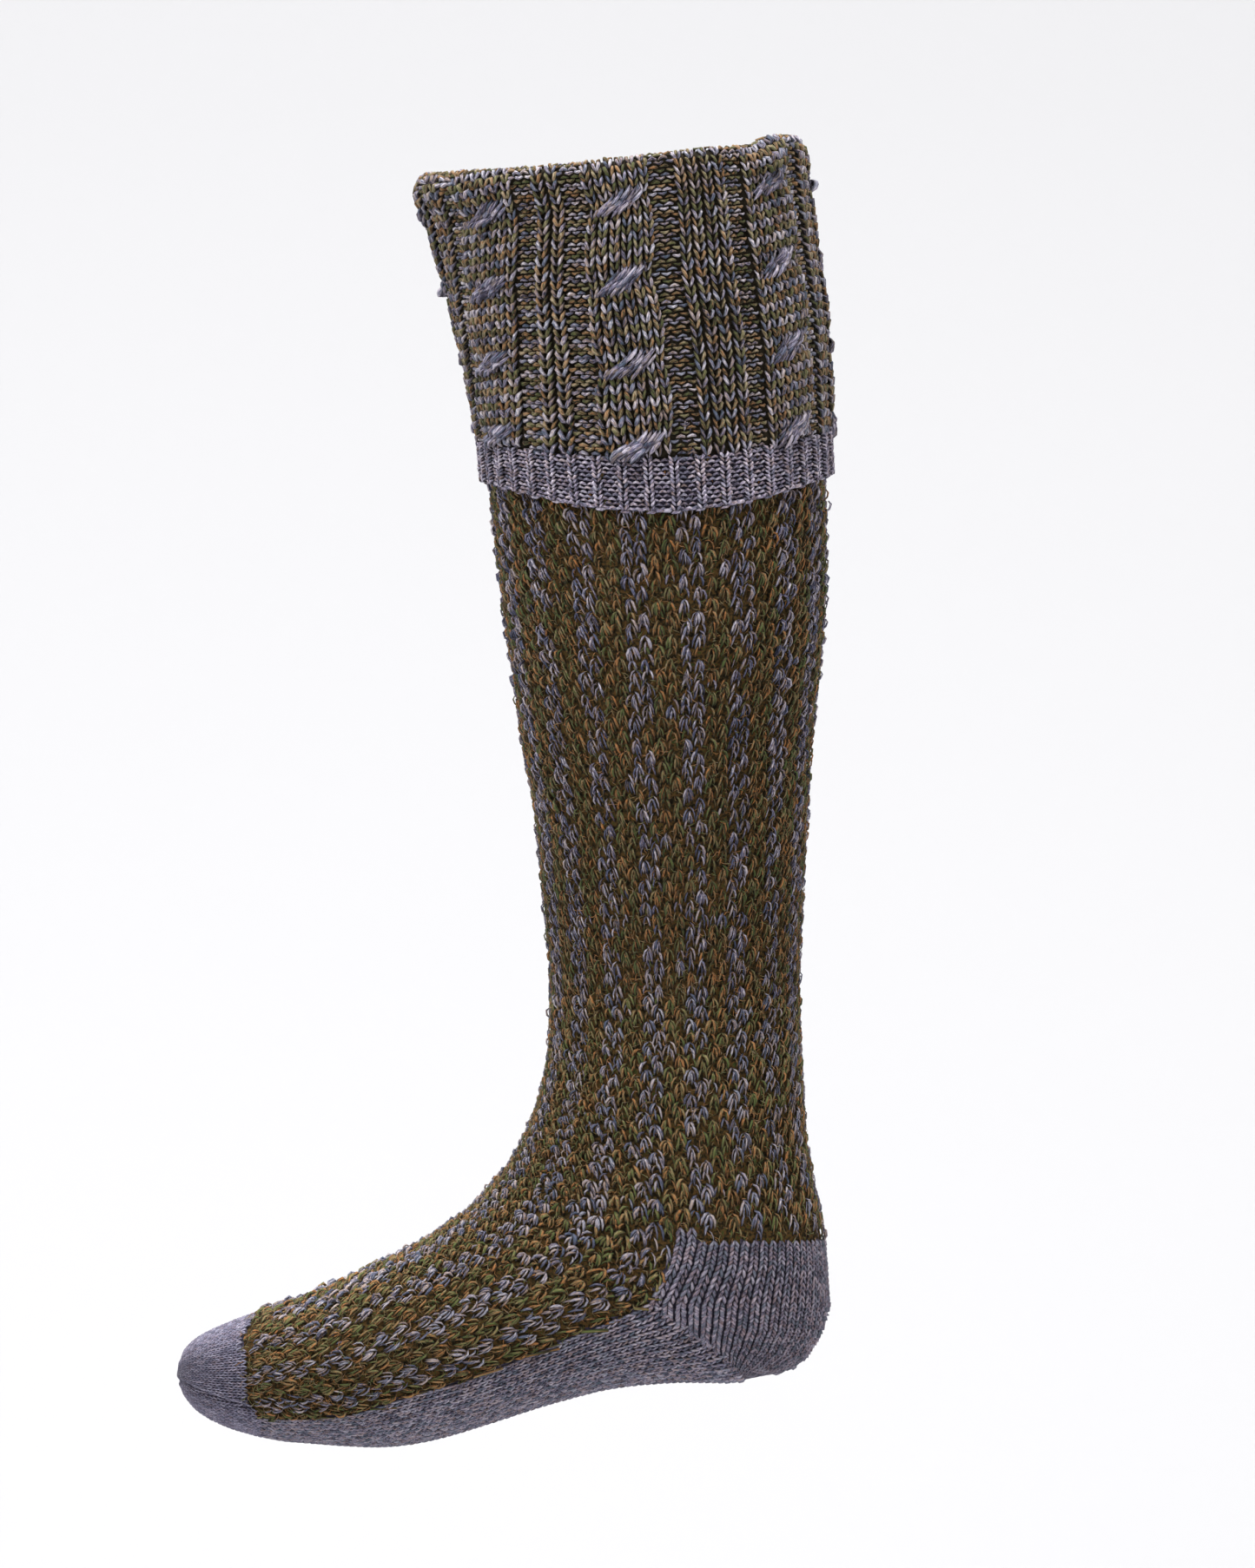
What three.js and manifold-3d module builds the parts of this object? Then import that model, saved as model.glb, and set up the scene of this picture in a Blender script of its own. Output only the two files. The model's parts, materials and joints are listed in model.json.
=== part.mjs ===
import * as THREE from "three";
import { mergeVertices } from "three/addons/utils/BufferGeometryUtils.js";
import Module from "manifold-3d";

// A knee-length knitted sock with a cabled turn-over cuff, shaped as it stands on a leg: a hollow
// tube that goes down the leg, round the heel and along the foot. Millimetres, Z up, toe towards
// -X, heel towards +X. The origin is the middle of the mouth, where the cuff folds over.
const wasm = await Module();
wasm.setup();
const { Manifold, Mesh } = wasm;

// Overall sizes.
const SOCK_HEIGHT = 525; // mouth to the lowest point of the sole
const FOOT_LENGTH = 264; // heel to toe, level
const CALF_WIDTH = 124; // side to side at the calf
const FOOT_WIDTH = 94; // side to side across the ball of the foot

// Fabric of the leg and foot.
const KNIT = 3; // thickness
const SEAM_GAP = 0.3; // left open where two knitted pieces meet

// Turned-over cuff and its rib border.
const CUFF_DROP = 114; // from the fold down to the rib border, at the front
const CUFF_DIP = 9; // how much lower the border's upper edge hangs at the sides
const CUFF_TILT = 4.5; // how much further down the cuff reaches at the back than at the front
const FOLD_DIP = 3.5; // how much lower the fold lies at the sides
const DIP_FADE = 30; // how far down the cuff that is felt
const HEM_DEPTH = 16.5; // rib border from its upper to its lower edge, at the front and back
const HEM_DIP = 5.2; // how much deeper the border is at the sides
const CUFF_EASE = 0.8; // air between the leg and the cuff turned over it
const CUFF_KNIT = 2.6; // thickness of the cuff in its grooves
const CABLE_RISE = 2.2; // cable above the grooves
const RIB_RISE = 1.1; // knit rib above the grooves
const CREASE_DEPTH = 1.6; // pressed-in fold down the near side of the cuff
const FOLD_RISE = 4.4; // the fold's own height, above the end of the leg
const FOLD_FLARE = 2.4; // how far the fold stands out past the cuff
const HEM_KNIT = 2.8; // thickness of the border in its grooves
const HEM_RIB_RISE = 0.9;

// Counts.
const CABLES = 7; // cables round the cuff
const HEM_RIBS = 42; // ribs round the border
const CABLE_PITCH = 30.9; // from one crossing down to the next
const FIRST_CROSSING = 17; // fold down to the first crossing
const WALES_A_REPEAT = 12; // columns of stitches from one cable to the next
const WIDE_GAP = 15.4; // the same from the middle cable to the one behind it
const BACK_CABLE = 141; // degrees from the front, over the near side, to that one
const RINGS = 26; // rings along the leg tube
const COLUMNS = 36; // corners round the leg tube

// One row a section, from the mouth to the toe: its front edge and its back edge, and half its
// width. x is a share of FOOT_LENGTH, z a share of SOCK_HEIGHT, half a share of CALF_WIDTH.
const LEG_SECTIONS = [
  { frontX: -0.29, frontZ: -0.013, backX: 0.269, backZ: 0.019, half: 0.555 },
  { frontX: -0.25, frontZ: -0.085, backX: 0.286, backZ: -0.056, half: 0.55 },
  { frontX: -0.222, frontZ: -0.149, backX: 0.305, backZ: -0.126, half: 0.54 },
  { frontX: -0.199, frontZ: -0.214, backX: 0.312, backZ: -0.198, half: 0.53 },
  { frontX: -0.187, frontZ: -0.281, backX: 0.319, backZ: -0.27, half: 0.52 },
  { frontX: -0.176, frontZ: -0.331, backX: 0.319, backZ: -0.324, half: 0.51 },
  { frontX: -0.161, frontZ: -0.385, backX: 0.313, backZ: -0.38, half: 0.5 },
  { frontX: -0.143, frontZ: -0.45, backX: 0.299, backZ: -0.445, half: 0.465 },
  { frontX: -0.124, frontZ: -0.507, backX: 0.292, backZ: -0.503, half: 0.425 },
  { frontX: -0.112, frontZ: -0.568, backX: 0.286, backZ: -0.565, half: 0.38 },
  { frontX: -0.102, frontZ: -0.625, backX: 0.281, backZ: -0.624, half: 0.345 },
  { frontX: -0.101, frontZ: -0.669, backX: 0.281, backZ: -0.67, half: 0.325 },
];

// The same round the heel and along the foot, with half a share of FOOT_WIDTH.
const FOOT_SECTIONS = [
  { frontX: -0.106, frontZ: -0.703, backX: 0.285, backZ: -0.717, half: 0.42 },
  { frontX: -0.118, frontZ: -0.728, backX: 0.292, backZ: -0.764, half: 0.415 },
  { frontX: -0.13, frontZ: -0.746, backX: 0.311, backZ: -0.815, half: 0.41 },
  { frontX: -0.143, frontZ: -0.761, backX: 0.327, backZ: -0.862, half: 0.405 },
  { frontX: -0.155, frontZ: -0.773, backX: 0.32, backZ: -0.903, half: 0.4 },
  { frontX: -0.169, frontZ: -0.784, backX: 0.277, backZ: -0.937, half: 0.395 },
  { frontX: -0.187, frontZ: -0.794, backX: 0.196, backZ: -0.949, half: 0.395 },
  { frontX: -0.207, frontZ: -0.806, backX: 0.094, backZ: -0.95, half: 0.4 },
  { frontX: -0.231, frontZ: -0.818, backX: -0.007, backZ: -0.955, half: 0.41 },
  { frontX: -0.26, frontZ: -0.829, backX: -0.108, backZ: -0.968, half: 0.43 },
  { frontX: -0.293, frontZ: -0.84, backX: -0.195, backZ: -0.982, half: 0.455 },
  { frontX: -0.333, frontZ: -0.851, backX: -0.276, backZ: -0.994, half: 0.48 },
  { frontX: -0.379, frontZ: -0.863, backX: -0.347, backZ: -1, half: 0.5 },
  { frontX: -0.426, frontZ: -0.874, backX: -0.41, backZ: -1, half: 0.5 },
  { frontX: -0.477, frontZ: -0.885, backX: -0.468, backZ: -0.998, half: 0.48 },
  { frontX: -0.524, frontZ: -0.892, backX: -0.519, backZ: -0.996, half: 0.445 },
  { frontX: -0.571, frontZ: -0.9, backX: -0.567, backZ: -0.991, half: 0.395 },
  { frontX: -0.612, frontZ: -0.908, backX: -0.609, backZ: -0.984, half: 0.325 },
  { frontX: -0.648, frontZ: -0.917, backX: -0.646, backZ: -0.974, half: 0.235 },
  { frontX: -0.668, frontZ: -0.926, backX: -0.667, backZ: -0.963, half: 0.15 },
  { frontX: -0.675, frontZ: -0.934, backX: -0.675, backZ: -0.955, half: 0.08 },
];

// Borders of the plain-knit heel, sole and toe seen from the side, as shares of the same sizes.
const HEEL_TOP = [
  { x: 0.4, z: -0.842 },
  { x: 0.128, z: -0.842 },
  { x: 0.122, z: -0.834 },
  { x: 0.094, z: -0.834 },
];
const HEEL_FRONT = [
  { x: 0.09, z: -0.843 },
  { x: 0.079, z: -0.865 },
  { x: 0.059, z: -0.88 },
  { x: 0.046, z: -0.89 },
];
const HEEL_SOLE = [
  { x: 0.108, z: -0.912 },
  { x: 0.161, z: -0.93 },
  { x: 0.186, z: -0.947 },
  { x: 0.19, z: -1.05 },
];
const SOLE_TOP = [
  { x: -0.009, z: -0.902 },
  { x: -0.051, z: -0.911 },
  { x: -0.121, z: -0.926 },
  { x: -0.218, z: -0.947 },
  { x: -0.325, z: -0.961 },
  { x: -0.411, z: -0.976 },
  { x: -0.491, z: -0.979 },
  { x: -0.553, z: -0.978 },
];
const TOE_EDGE = [
  { x: -0.55, z: -0.85 },
  { x: -0.563, z: -0.901 },
  { x: -0.578, z: -0.916 },
  { x: -0.576, z: -0.939 },
  { x: -0.57, z: -0.966 },
];
const TOE_SOLE = { x: -0.55, z: -1.05 };
const INSTEP_TOP = -0.65; // level at the ankle where the leg's tube ends
const AROUND = { left: -0.9, right: 0.4, below: -1.05 };

// Rise of one cable repeat, from the middle of a cable: columns of stitches out from there, and
// which relief stands there.
const CUFF_PROFILE = [
  { wale: -2.9, cable: 0, rib: 0 },
  { wale: -2.2, cable: 0.8, rib: 0 },
  { wale: -1.2, cable: 1, rib: 0 },
  { wale: 0, cable: 1, rib: 0 },
  { wale: 1.2, cable: 1, rib: 0 },
  { wale: 2.2, cable: 0.8, rib: 0 },
  { wale: 2.9, cable: 0, rib: 0 },
  { wale: 4.9, cable: 0, rib: 0 },
  { wale: 5.3, cable: 0, rib: 1 },
  { wale: 6, cable: 0, rib: 0.55 },
  { wale: 6.7, cable: 0, rib: 1 },
  { wale: 7.1, cable: 0, rib: 0 },
];

// The same for the wide gap behind the middle cable, which holds four ribs.
const WIDE_PROFILE = [
  ...CUFF_PROFILE.slice(0, 7),
  { wale: 5, cable: 0, rib: 0 },
  { wale: 5.4, cable: 0, rib: 1 },
  { wale: 6.5, cable: 0, rib: 0.6 },
  { wale: 7.5, cable: 0, rib: 1 },
  { wale: 8, cable: 0, rib: 0.4 },
  { wale: 8.5, cable: 0, rib: 1 },
  { wale: 9.4, cable: 0, rib: 0.6 },
  { wale: 10.4, cable: 0, rib: 1 },
  { wale: 10.9, cable: 0, rib: 0 },
];

// The cables in front drift forward as they come down: share of CUFF_DROP, and degrees from the
// front to the first cable and to the middle one.
const CABLE_DRIFT = [
  { drop: 0.16, first: 47, middle: 90.5 },
  { drop: 0.41, first: 38.5, middle: 86 },
  { drop: 0.71, first: 32, middle: 86 },
  { drop: 0.98, first: 27.5, middle: 86 },
];

// The crease between the four ribs: how far down the cuff, how deep it is.
const CREASE = [
  { drop: 0.1, depth: 0 },
  { drop: 0.35, depth: 0.6 },
  { drop: 0.6, depth: 1 },
  { drop: 0.9, depth: 0.8 },
  { drop: 1, depth: 0 },
];
const CREASE_PLACE = { wale: 8, width: 0.75 }; // in wales from the middle cable

// The fold over the top of the leg, from inside the mouth out to the cuff: how far across its
// thickness and how far down from its crest.
const FOLD_PROFILE = [
  { across: 0, down: 1 },
  { across: 0, down: 0.45 },
  { across: 0.15, down: 0.14 },
  { across: 0.4, down: 0 },
  { across: 0.7, down: 0.1 },
  { across: 0.93, down: 0.4 },
  { across: 1, down: 0.95 },
];

const radians = THREE.MathUtils.degToRad;
const smooth = THREE.MathUtils.smoothstep;

const sections = [
  ...LEG_SECTIONS.map((row) => ({ row, width: CALF_WIDTH })),
  ...FOOT_SECTIONS.map((row) => ({ row, width: FOOT_WIDTH })),
].map(({ row, width }) => ({
  front: new THREE.Vector3(row.frontX * FOOT_LENGTH, 0, row.frontZ * SOCK_HEIGHT),
  back: new THREE.Vector3(row.backX * FOOT_LENGTH, 0, row.backZ * SOCK_HEIGHT),
  half: row.half * width,
}));

// Curves through the sections; `at` runs from 0 at the mouth to 1 at the toe.
const frontLine = new THREE.CatmullRomCurve3(sections.map((s) => s.front));
const backLine = new THREE.CatmullRomCurve3(sections.map((s) => s.back));
const widthLine = new THREE.CatmullRomCurve3(sections.map((s, i) => new THREE.Vector3(i, s.half, 0)));

// A point of the tube's outer surface. The angle runs from the front over the near side (-Y).
function tubePoint(at, angle) {
  const front = frontLine.getPoint(at);
  const back = backLine.getPoint(at);
  const half = widthLine.getPoint(at).y;
  const point = front.clone().add(back).multiplyScalar(0.5);
  point.addScaledVector(front.sub(back), 0.5 * Math.cos(angle));
  point.y -= half * Math.sin(angle);
  return point;
}

// The same, moved out along the surface's normal.
function skinPoint(at, angle, out) {
  const step = 0.004;
  const low = THREE.MathUtils.clamp(at, step, 1 - step);
  const along = tubePoint(low + step, angle).sub(tubePoint(low - step, angle));
  const round = tubePoint(at, angle + step).sub(tubePoint(at, angle - step));
  const normal = round.cross(along).normalize();
  return tubePoint(at, angle).addScaledVector(normal, -out);
}

// The section parameter a given length down the leg from the mouth, for the cuff.
const lengthDown = [0];
const AT_STEP = 0.002;
for (let at = AT_STEP; at < 0.5; at += AT_STEP) {
  const here = tubePoint(at, 0).add(tubePoint(at, Math.PI));
  const before = tubePoint(at - AT_STEP, 0).add(tubePoint(at - AT_STEP, Math.PI));
  lengthDown.push(lengthDown.at(-1) + here.distanceTo(before) / 2);
}
function atDrop(drop) {
  const i = lengthDown.findIndex((length) => length > drop);
  const share = (drop - lengthDown[i - 1]) / (lengthDown[i] - lengthDown[i - 1]);
  return (i - 1 + share) * AT_STEP;
}

// A value between the rows of a table, by straight lines.
function between(table, key, value, column) {
  if (value <= table[0][key]) return table[0][column];
  const i = table.findIndex((row) => row[key] >= value);
  if (i < 0) return table.at(-1)[column];
  const share = (value - table[i - 1][key]) / (table[i][key] - table[i - 1][key]);
  return THREE.MathUtils.lerp(table[i - 1][column], table[i][column], share);
}

// A closed body from rings of equal length, joined end to end: the last ring meets the first
// when `loop` is set, else each end is closed by a fan.
function bodyOf(rings, loop) {
  const count = rings[0].length;
  const corners = rings.flat();
  const faces = [];
  const last = loop ? rings.length : rings.length - 1;
  for (let i = 0; i < last; i++) {
    for (let j = 0; j < count; j++) {
      const a = i * count + j;
      const b = i * count + ((j + 1) % count);
      const c = ((i + 1) % rings.length) * count + j;
      const d = ((i + 1) % rings.length) * count + ((j + 1) % count);
      faces.push(a, c, b, b, c, d);
    }
  }
  if (!loop) {
    const middle = (ring) => ring.reduce((sum, p) => sum.add(p), new THREE.Vector3())
      .divideScalar(count);
    const first = corners.push(middle(rings[0])) - 1;
    const end = corners.push(middle(rings.at(-1))) - 1;
    for (let j = 0; j < count; j++) {
      const next = (j + 1) % count;
      faces.push(first, j, next);
      faces.push(end, (rings.length - 1) * count + next, (rings.length - 1) * count + j);
    }
  }
  return new Manifold(new Mesh({
    numProp: 3,
    vertProperties: new Float32Array(corners.flatMap((p) => p.toArray())),
    triVerts: new Uint32Array(faces),
  }));
}

const angles = (count) => Array.from({ length: count }, (_, i) => (i / count) * 2 * Math.PI);

// How much lower things hang at the sides than at the front and back.
const sag = (angle) => Math.sin(angle) ** 2;

// The whole tube: up its inside from the toe, over the rim and down its outside.
function sockTube() {
  const ring = (share, out) => angles(COLUMNS).map((angle) => {
    const rimAt = atDrop(FOLD_RISE + FOLD_DIP * sag(angle));
    return skinPoint(THREE.MathUtils.lerp(rimAt, 0.995, share), angle, out);
  });
  const shares = Array.from({ length: RINGS }, (_, i) => i / (RINGS - 1));
  const outside = shares.map((share) => ring(share, 0));
  const inside = shares.slice(0, -1).map((share) => ring(share, -KNIT));
  return bodyOf([...inside.reverse(), ...outside], false);
}

// The outline in millimetres, each edge moved out by `grow`. Its corners run counterclockwise.
function grownOutline(outline, grow) {
  const points = outline.map(({ x, z }) => new THREE.Vector2(x * FOOT_LENGTH, z * SOCK_HEIGHT));
  const outward = (from, to) => {
    const along = to.clone().sub(from).normalize();
    return new THREE.Vector2(along.y, -along.x);
  };
  return points.map((point, i) => {
    const before = outward(points.at(i - 1), point);
    const after = outward(point, points[(i + 1) % points.length]);
    const both = before.clone().add(after);
    return point.clone().addScaledVector(both, grow / (1 + before.dot(after)));
  });
}

// A slab across the whole sock whose side view is the grown outline.
function slab(outline, grow) {
  const reach = CALF_WIDTH + FOOT_WIDTH;
  const shape = new THREE.Shape(grownOutline(outline, grow));
  const prism = new THREE.ExtrudeGeometry(shape, { depth: 2 * reach, bevelEnabled: false });
  prism.translate(0, 0, -reach).rotateX(Math.PI / 2);
  prism.deleteAttribute("normal");
  prism.deleteAttribute("uv");
  const { index, attributes } = mergeVertices(prism);
  return new Manifold(new Mesh({
    numProp: 3,
    vertProperties: new Float32Array(attributes.position.array),
    triVerts: new Uint32Array(index.array),
  }));
}

const heelOutline = [
  ...HEEL_TOP, ...HEEL_FRONT, ...HEEL_SOLE, { x: AROUND.right, z: AROUND.below },
];
const soleOutline = [
  ...HEEL_SOLE.toReversed(), HEEL_FRONT.at(-1), ...SOLE_TOP, TOE_SOLE,
];
const toeOutline = [
  ...TOE_EDGE, SOLE_TOP.at(-1), TOE_SOLE,
  { x: AROUND.left, z: AROUND.below }, { x: AROUND.left, z: TOE_EDGE[0].z },
].toReversed();
const footOutline = [
  { x: AROUND.left, z: INSTEP_TOP }, { x: AROUND.left, z: AROUND.below },
  { x: AROUND.right, z: AROUND.below }, { x: AROUND.right, z: INSTEP_TOP },
];

const tube = sockTube();
const cut = (outline) => tube.intersect(slab(outline, -SEAM_GAP / 2));
const heel = cut(heelOutline);
const sole = cut(soleOutline);
const toe = cut(toeOutline);
const instep = [heelOutline, soleOutline, toeOutline]
  .reduce((rest, outline) => rest.subtract(slab(outline, SEAM_GAP / 2)), cut(footOutline));
const leg = tube.subtract(slab(footOutline, SEAM_GAP / 2));

// The fold stands out most at the front.
const foldFlare = (angle) => FOLD_FLARE * (0.6 + 0.4 * Math.cos(angle));

// Height of a cable's two strands above the grooves: they change sides at each crossing, and the
// strand that rises from the lower left passes over the other.
function cableRise(wale, drop) {
  const turn = (FIRST_CROSSING - drop) / CABLE_PITCH;
  const phase = turn - Math.round(turn);
  const over = 1.5 * Math.sin(Math.PI * phase);
  const bump = (centre) => Math.max(0, 1 - ((wale - centre) / 1.75) ** 2) ** 0.5;
  return Math.max(bump(over), bump(-over) * (0.55 + 0.9 * Math.abs(phase)));
}

function cuffRise(column, wale, drop) {
  const away = (wale - CREASE_PLACE.wale) / CREASE_PLACE.width;
  const depth = between(CREASE, "drop", drop / CUFF_DROP, "depth") * CREASE_DEPTH;
  const rope = column.cable * CABLE_RISE * cableRise(column.wale, drop);
  return rope + column.rib * RIB_RISE - Math.exp(-away * away) * depth;
}

// How far down the cuff reaches, and where a place at `drop` on it lies along the leg.
const cuffLength = (angle) => CUFF_DROP + CUFF_DIP * sag(angle)
  + CUFF_TILT * (0.5 - 0.5 * Math.cos(angle));
const foldDip = (angle, drop) => FOLD_DIP * sag(angle) * Math.max(0, 1 - drop / DIP_FADE);
const lowered = (angle, drop) => (drop * cuffLength(angle)) / CUFF_DROP + foldDip(angle, drop);

// Angle of a wale, counted from the middle cable.
const PLAIN_GAPS = CABLES - 2;
const ALL_WALES = WIDE_GAP + (PLAIN_GAPS + 1) * WALES_A_REPEAT;
function waleAngle(wale, drop) {
  const first = between(CABLE_DRIFT, "drop", drop / CUFF_DROP, "first");
  const middle = between(CABLE_DRIFT, "drop", drop / CUFF_DROP, "middle");
  const past = (wale < -WALES_A_REPEAT ? wale + ALL_WALES : wale) - WIDE_GAP;
  if (past > 0) {
    return radians(BACK_CABLE + ((first + 360 - BACK_CABLE) * past) / (PLAIN_GAPS * WALES_A_REPEAT));
  }
  return wale < 0
    ? radians(middle + ((middle - first) * wale) / WALES_A_REPEAT)
    : radians(middle + ((BACK_CABLE - middle) * wale) / WIDE_GAP);
}

function cuffBody() {
  const columns = Array.from({ length: CABLES }, (_, n) => {
    const cable = n < 2 ? (n - 1) * WALES_A_REPEAT : WIDE_GAP + (n - 2) * WALES_A_REPEAT;
    const profile = n === 1 ? WIDE_PROFILE : CUFF_PROFILE;
    return profile.map((column) => ({ column, wale: cable + column.wale }));
  }).flat();
  const inner = (drop) => columns.map(({ wale }) => {
    const angle = waleAngle(wale, drop);
    return skinPoint(atDrop(lowered(angle, drop)), angle, CUFF_EASE);
  });
  const outer = (drop) => columns.map(({ column, wale }) => {
    const angle = waleAngle(wale, drop);
    const flare = foldFlare(angle) * (1 - smooth(drop, 0, 5 * FOLD_RISE));
    const ease = smooth(drop, 0, 2 * FOLD_RISE);
    const out = CUFF_EASE + CUFF_KNIT + flare + ease * cuffRise(column, wale, drop);
    return skinPoint(atDrop(lowered(angle, drop)), angle, out);
  });
  const foldRing = ({ across, down }) => columns.map(({ wale }) => {
    const angle = waleAngle(wale, 0);
    const out = THREE.MathUtils.lerp(-KNIT, CUFF_EASE + CUFF_KNIT + foldFlare(angle), across);
    return skinPoint(atDrop(down * (FOLD_RISE - SEAM_GAP) + foldDip(angle, 0)), angle, out);
  });
  const outerDrops = Array.from({ length: 14 }, (_, i) => (
    FOLD_RISE + (CUFF_DROP - FOLD_RISE) * (i / 13)));
  const innerDrops = [1, 0.75, 0.5, 0.25].map((share) => share * CUFF_DROP);
  return bodyOf([
    ...innerDrops.map(inner),
    inner(FOLD_RISE - SEAM_GAP),
    ...FOLD_PROFILE.map(foldRing),
    ...outerDrops.map(outer),
  ], true);
}

// The rib border below the cuff: a ring with one ridge a rib, its lower edge rounded in a little.
function hemBody() {
  const ringAngles = angles(2 * HEM_RIBS);
  const ring = (share, out, rib) => ringAngles.map((angle, i) => {
    const top = cuffLength(angle) + SEAM_GAP;
    const depth = HEM_DEPTH + sag(angle) * HEM_DIP;
    return skinPoint(atDrop(top + share * depth), angle, out + (i % 2 ? 0 : rib));
  });
  return bodyOf([
    ring(1, CUFF_EASE, 0),
    ring(0.5, CUFF_EASE, 0),
    ring(0, CUFF_EASE, 0),
    ring(0, CUFF_EASE + HEM_KNIT, HEM_RIB_RISE),
    ring(0.5, CUFF_EASE + HEM_KNIT, HEM_RIB_RISE),
    ring(0.94, CUFF_EASE + HEM_KNIT, HEM_RIB_RISE),
    ring(1, CUFF_EASE + 0.6 * HEM_KNIT, 0),
  ], true);
}

const olive = new THREE.MeshStandardMaterial({ color: 0x5b5a38, roughness: 0.95, metalness: 0 });
const slate = new THREE.MeshStandardMaterial({ color: 0x6f7288, roughness: 0.95, metalness: 0 });
const mixed = new THREE.MeshStandardMaterial({ color: 0x6c6b58, roughness: 0.95, metalness: 0 });

const group = new THREE.Group();
group.name = "cable_cuff_sock";

function add(name, body, material) {
  const { vertProperties, triVerts } = body.getMesh();
  const geometry = new THREE.BufferGeometry();
  geometry.setAttribute("position", new THREE.BufferAttribute(vertProperties, 3));
  geometry.setIndex(new THREE.BufferAttribute(triVerts, 1));
  geometry.computeVertexNormals();
  const mesh = new THREE.Mesh(geometry, material);
  mesh.name = name;
  group.add(mesh);
}

add("leg", leg, olive);
add("instep", instep, olive);
add("heel", heel, slate);
add("sole", sole, slate);
add("toe", toe, slate);
add("cuff", cuffBody(), mixed);
add("cuff_hem", hemBody(), slate);

export default group;
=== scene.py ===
# %% [markdown]
# # A knitted sock with a cabled turn-over cuff
# The sock stands as it does on a leg: mouth at the origin, +Z up, toe towards -X. First the
# frame is loaded, and with it the plain solids that this lesson dresses in wool.

# %% Load the frame
import json
import math
import bpy
import numpy as np
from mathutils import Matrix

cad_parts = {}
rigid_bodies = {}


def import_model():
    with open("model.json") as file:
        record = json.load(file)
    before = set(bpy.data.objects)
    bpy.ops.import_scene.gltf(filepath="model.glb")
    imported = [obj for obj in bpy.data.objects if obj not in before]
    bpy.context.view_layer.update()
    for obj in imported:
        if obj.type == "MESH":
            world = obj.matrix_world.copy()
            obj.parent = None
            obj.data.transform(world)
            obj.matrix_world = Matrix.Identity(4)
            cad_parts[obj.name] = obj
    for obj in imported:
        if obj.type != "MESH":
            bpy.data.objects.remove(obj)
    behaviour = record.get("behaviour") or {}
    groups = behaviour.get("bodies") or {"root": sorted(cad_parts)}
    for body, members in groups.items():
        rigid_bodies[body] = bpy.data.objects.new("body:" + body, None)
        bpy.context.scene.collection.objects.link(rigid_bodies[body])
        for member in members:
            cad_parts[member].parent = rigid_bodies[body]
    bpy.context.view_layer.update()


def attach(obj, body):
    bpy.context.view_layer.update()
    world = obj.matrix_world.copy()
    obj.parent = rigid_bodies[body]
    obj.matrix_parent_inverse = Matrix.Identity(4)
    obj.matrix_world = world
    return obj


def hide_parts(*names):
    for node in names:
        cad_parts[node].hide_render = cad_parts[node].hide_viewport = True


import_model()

bpy.ops.object.select_all(action="DESELECT")
rng = np.random.default_rng(7)

# %% [markdown]
# ## The form under the knitting
# A sock is a tube that turns at the heel. Each row below is one section of it: the front edge
# and the back edge seen from the side, and half its width. The numbers are shares of the
# sock's own sizes, so the form is easy to read and to change. Between the rows the surface
# follows a smooth curve.

# %% Sections of the tube
SOCK_HEIGHT, FOOT_LENGTH = 0.525, 0.264
CALF_WIDTH, FOOT_WIDTH = 0.124, 0.094
KNIT = 0.003

LEG_SECTIONS = np.array([  # front x, front z, back x, back z, half width
    (-0.290, -0.013, 0.269, 0.019, 0.555), (-0.250, -0.085, 0.286, -0.056, 0.550),
    (-0.222, -0.149, 0.305, -0.126, 0.540), (-0.199, -0.214, 0.312, -0.198, 0.530),
    (-0.187, -0.281, 0.319, -0.270, 0.520), (-0.176, -0.331, 0.319, -0.324, 0.510),
    (-0.161, -0.385, 0.313, -0.380, 0.500), (-0.143, -0.450, 0.299, -0.445, 0.465),
    (-0.124, -0.507, 0.292, -0.503, 0.425), (-0.112, -0.568, 0.286, -0.565, 0.380),
    (-0.102, -0.625, 0.281, -0.624, 0.345), (-0.101, -0.669, 0.281, -0.670, 0.325)])
FOOT_SECTIONS = np.array([
    (-0.106, -0.703, 0.285, -0.717, 0.420), (-0.118, -0.728, 0.292, -0.764, 0.415),
    (-0.130, -0.746, 0.311, -0.815, 0.410), (-0.143, -0.761, 0.327, -0.862, 0.405),
    (-0.155, -0.773, 0.320, -0.903, 0.400), (-0.169, -0.784, 0.277, -0.937, 0.395),
    (-0.187, -0.794, 0.196, -0.949, 0.395), (-0.207, -0.806, 0.094, -0.950, 0.400),
    (-0.231, -0.818, -0.007, -0.955, 0.410), (-0.260, -0.829, -0.108, -0.968, 0.430),
    (-0.293, -0.840, -0.195, -0.982, 0.455), (-0.333, -0.851, -0.276, -0.994, 0.480),
    (-0.379, -0.863, -0.347, -1.000, 0.500), (-0.426, -0.874, -0.410, -1.000, 0.500),
    (-0.477, -0.885, -0.468, -0.998, 0.480), (-0.524, -0.892, -0.519, -0.996, 0.445),
    (-0.571, -0.900, -0.567, -0.991, 0.395), (-0.612, -0.908, -0.609, -0.984, 0.325),
    (-0.648, -0.917, -0.646, -0.974, 0.235), (-0.668, -0.926, -0.667, -0.963, 0.150),
    (-0.675, -0.934, -0.675, -0.955, 0.080)])
TOE_CAP = 0.0012  # how far the rounded tip stands before the last row
side_sizes = np.array([FOOT_LENGTH, SOCK_HEIGHT, FOOT_LENGTH, SOCK_HEIGHT])
rows = np.vstack([np.hstack([LEG_SECTIONS[:, :4] * side_sizes, LEG_SECTIONS[:, 4:] * CALF_WIDTH]),
                  np.hstack([FOOT_SECTIONS[:, :4] * side_sizes, FOOT_SECTIONS[:, 4:] * FOOT_WIDTH])])
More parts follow.
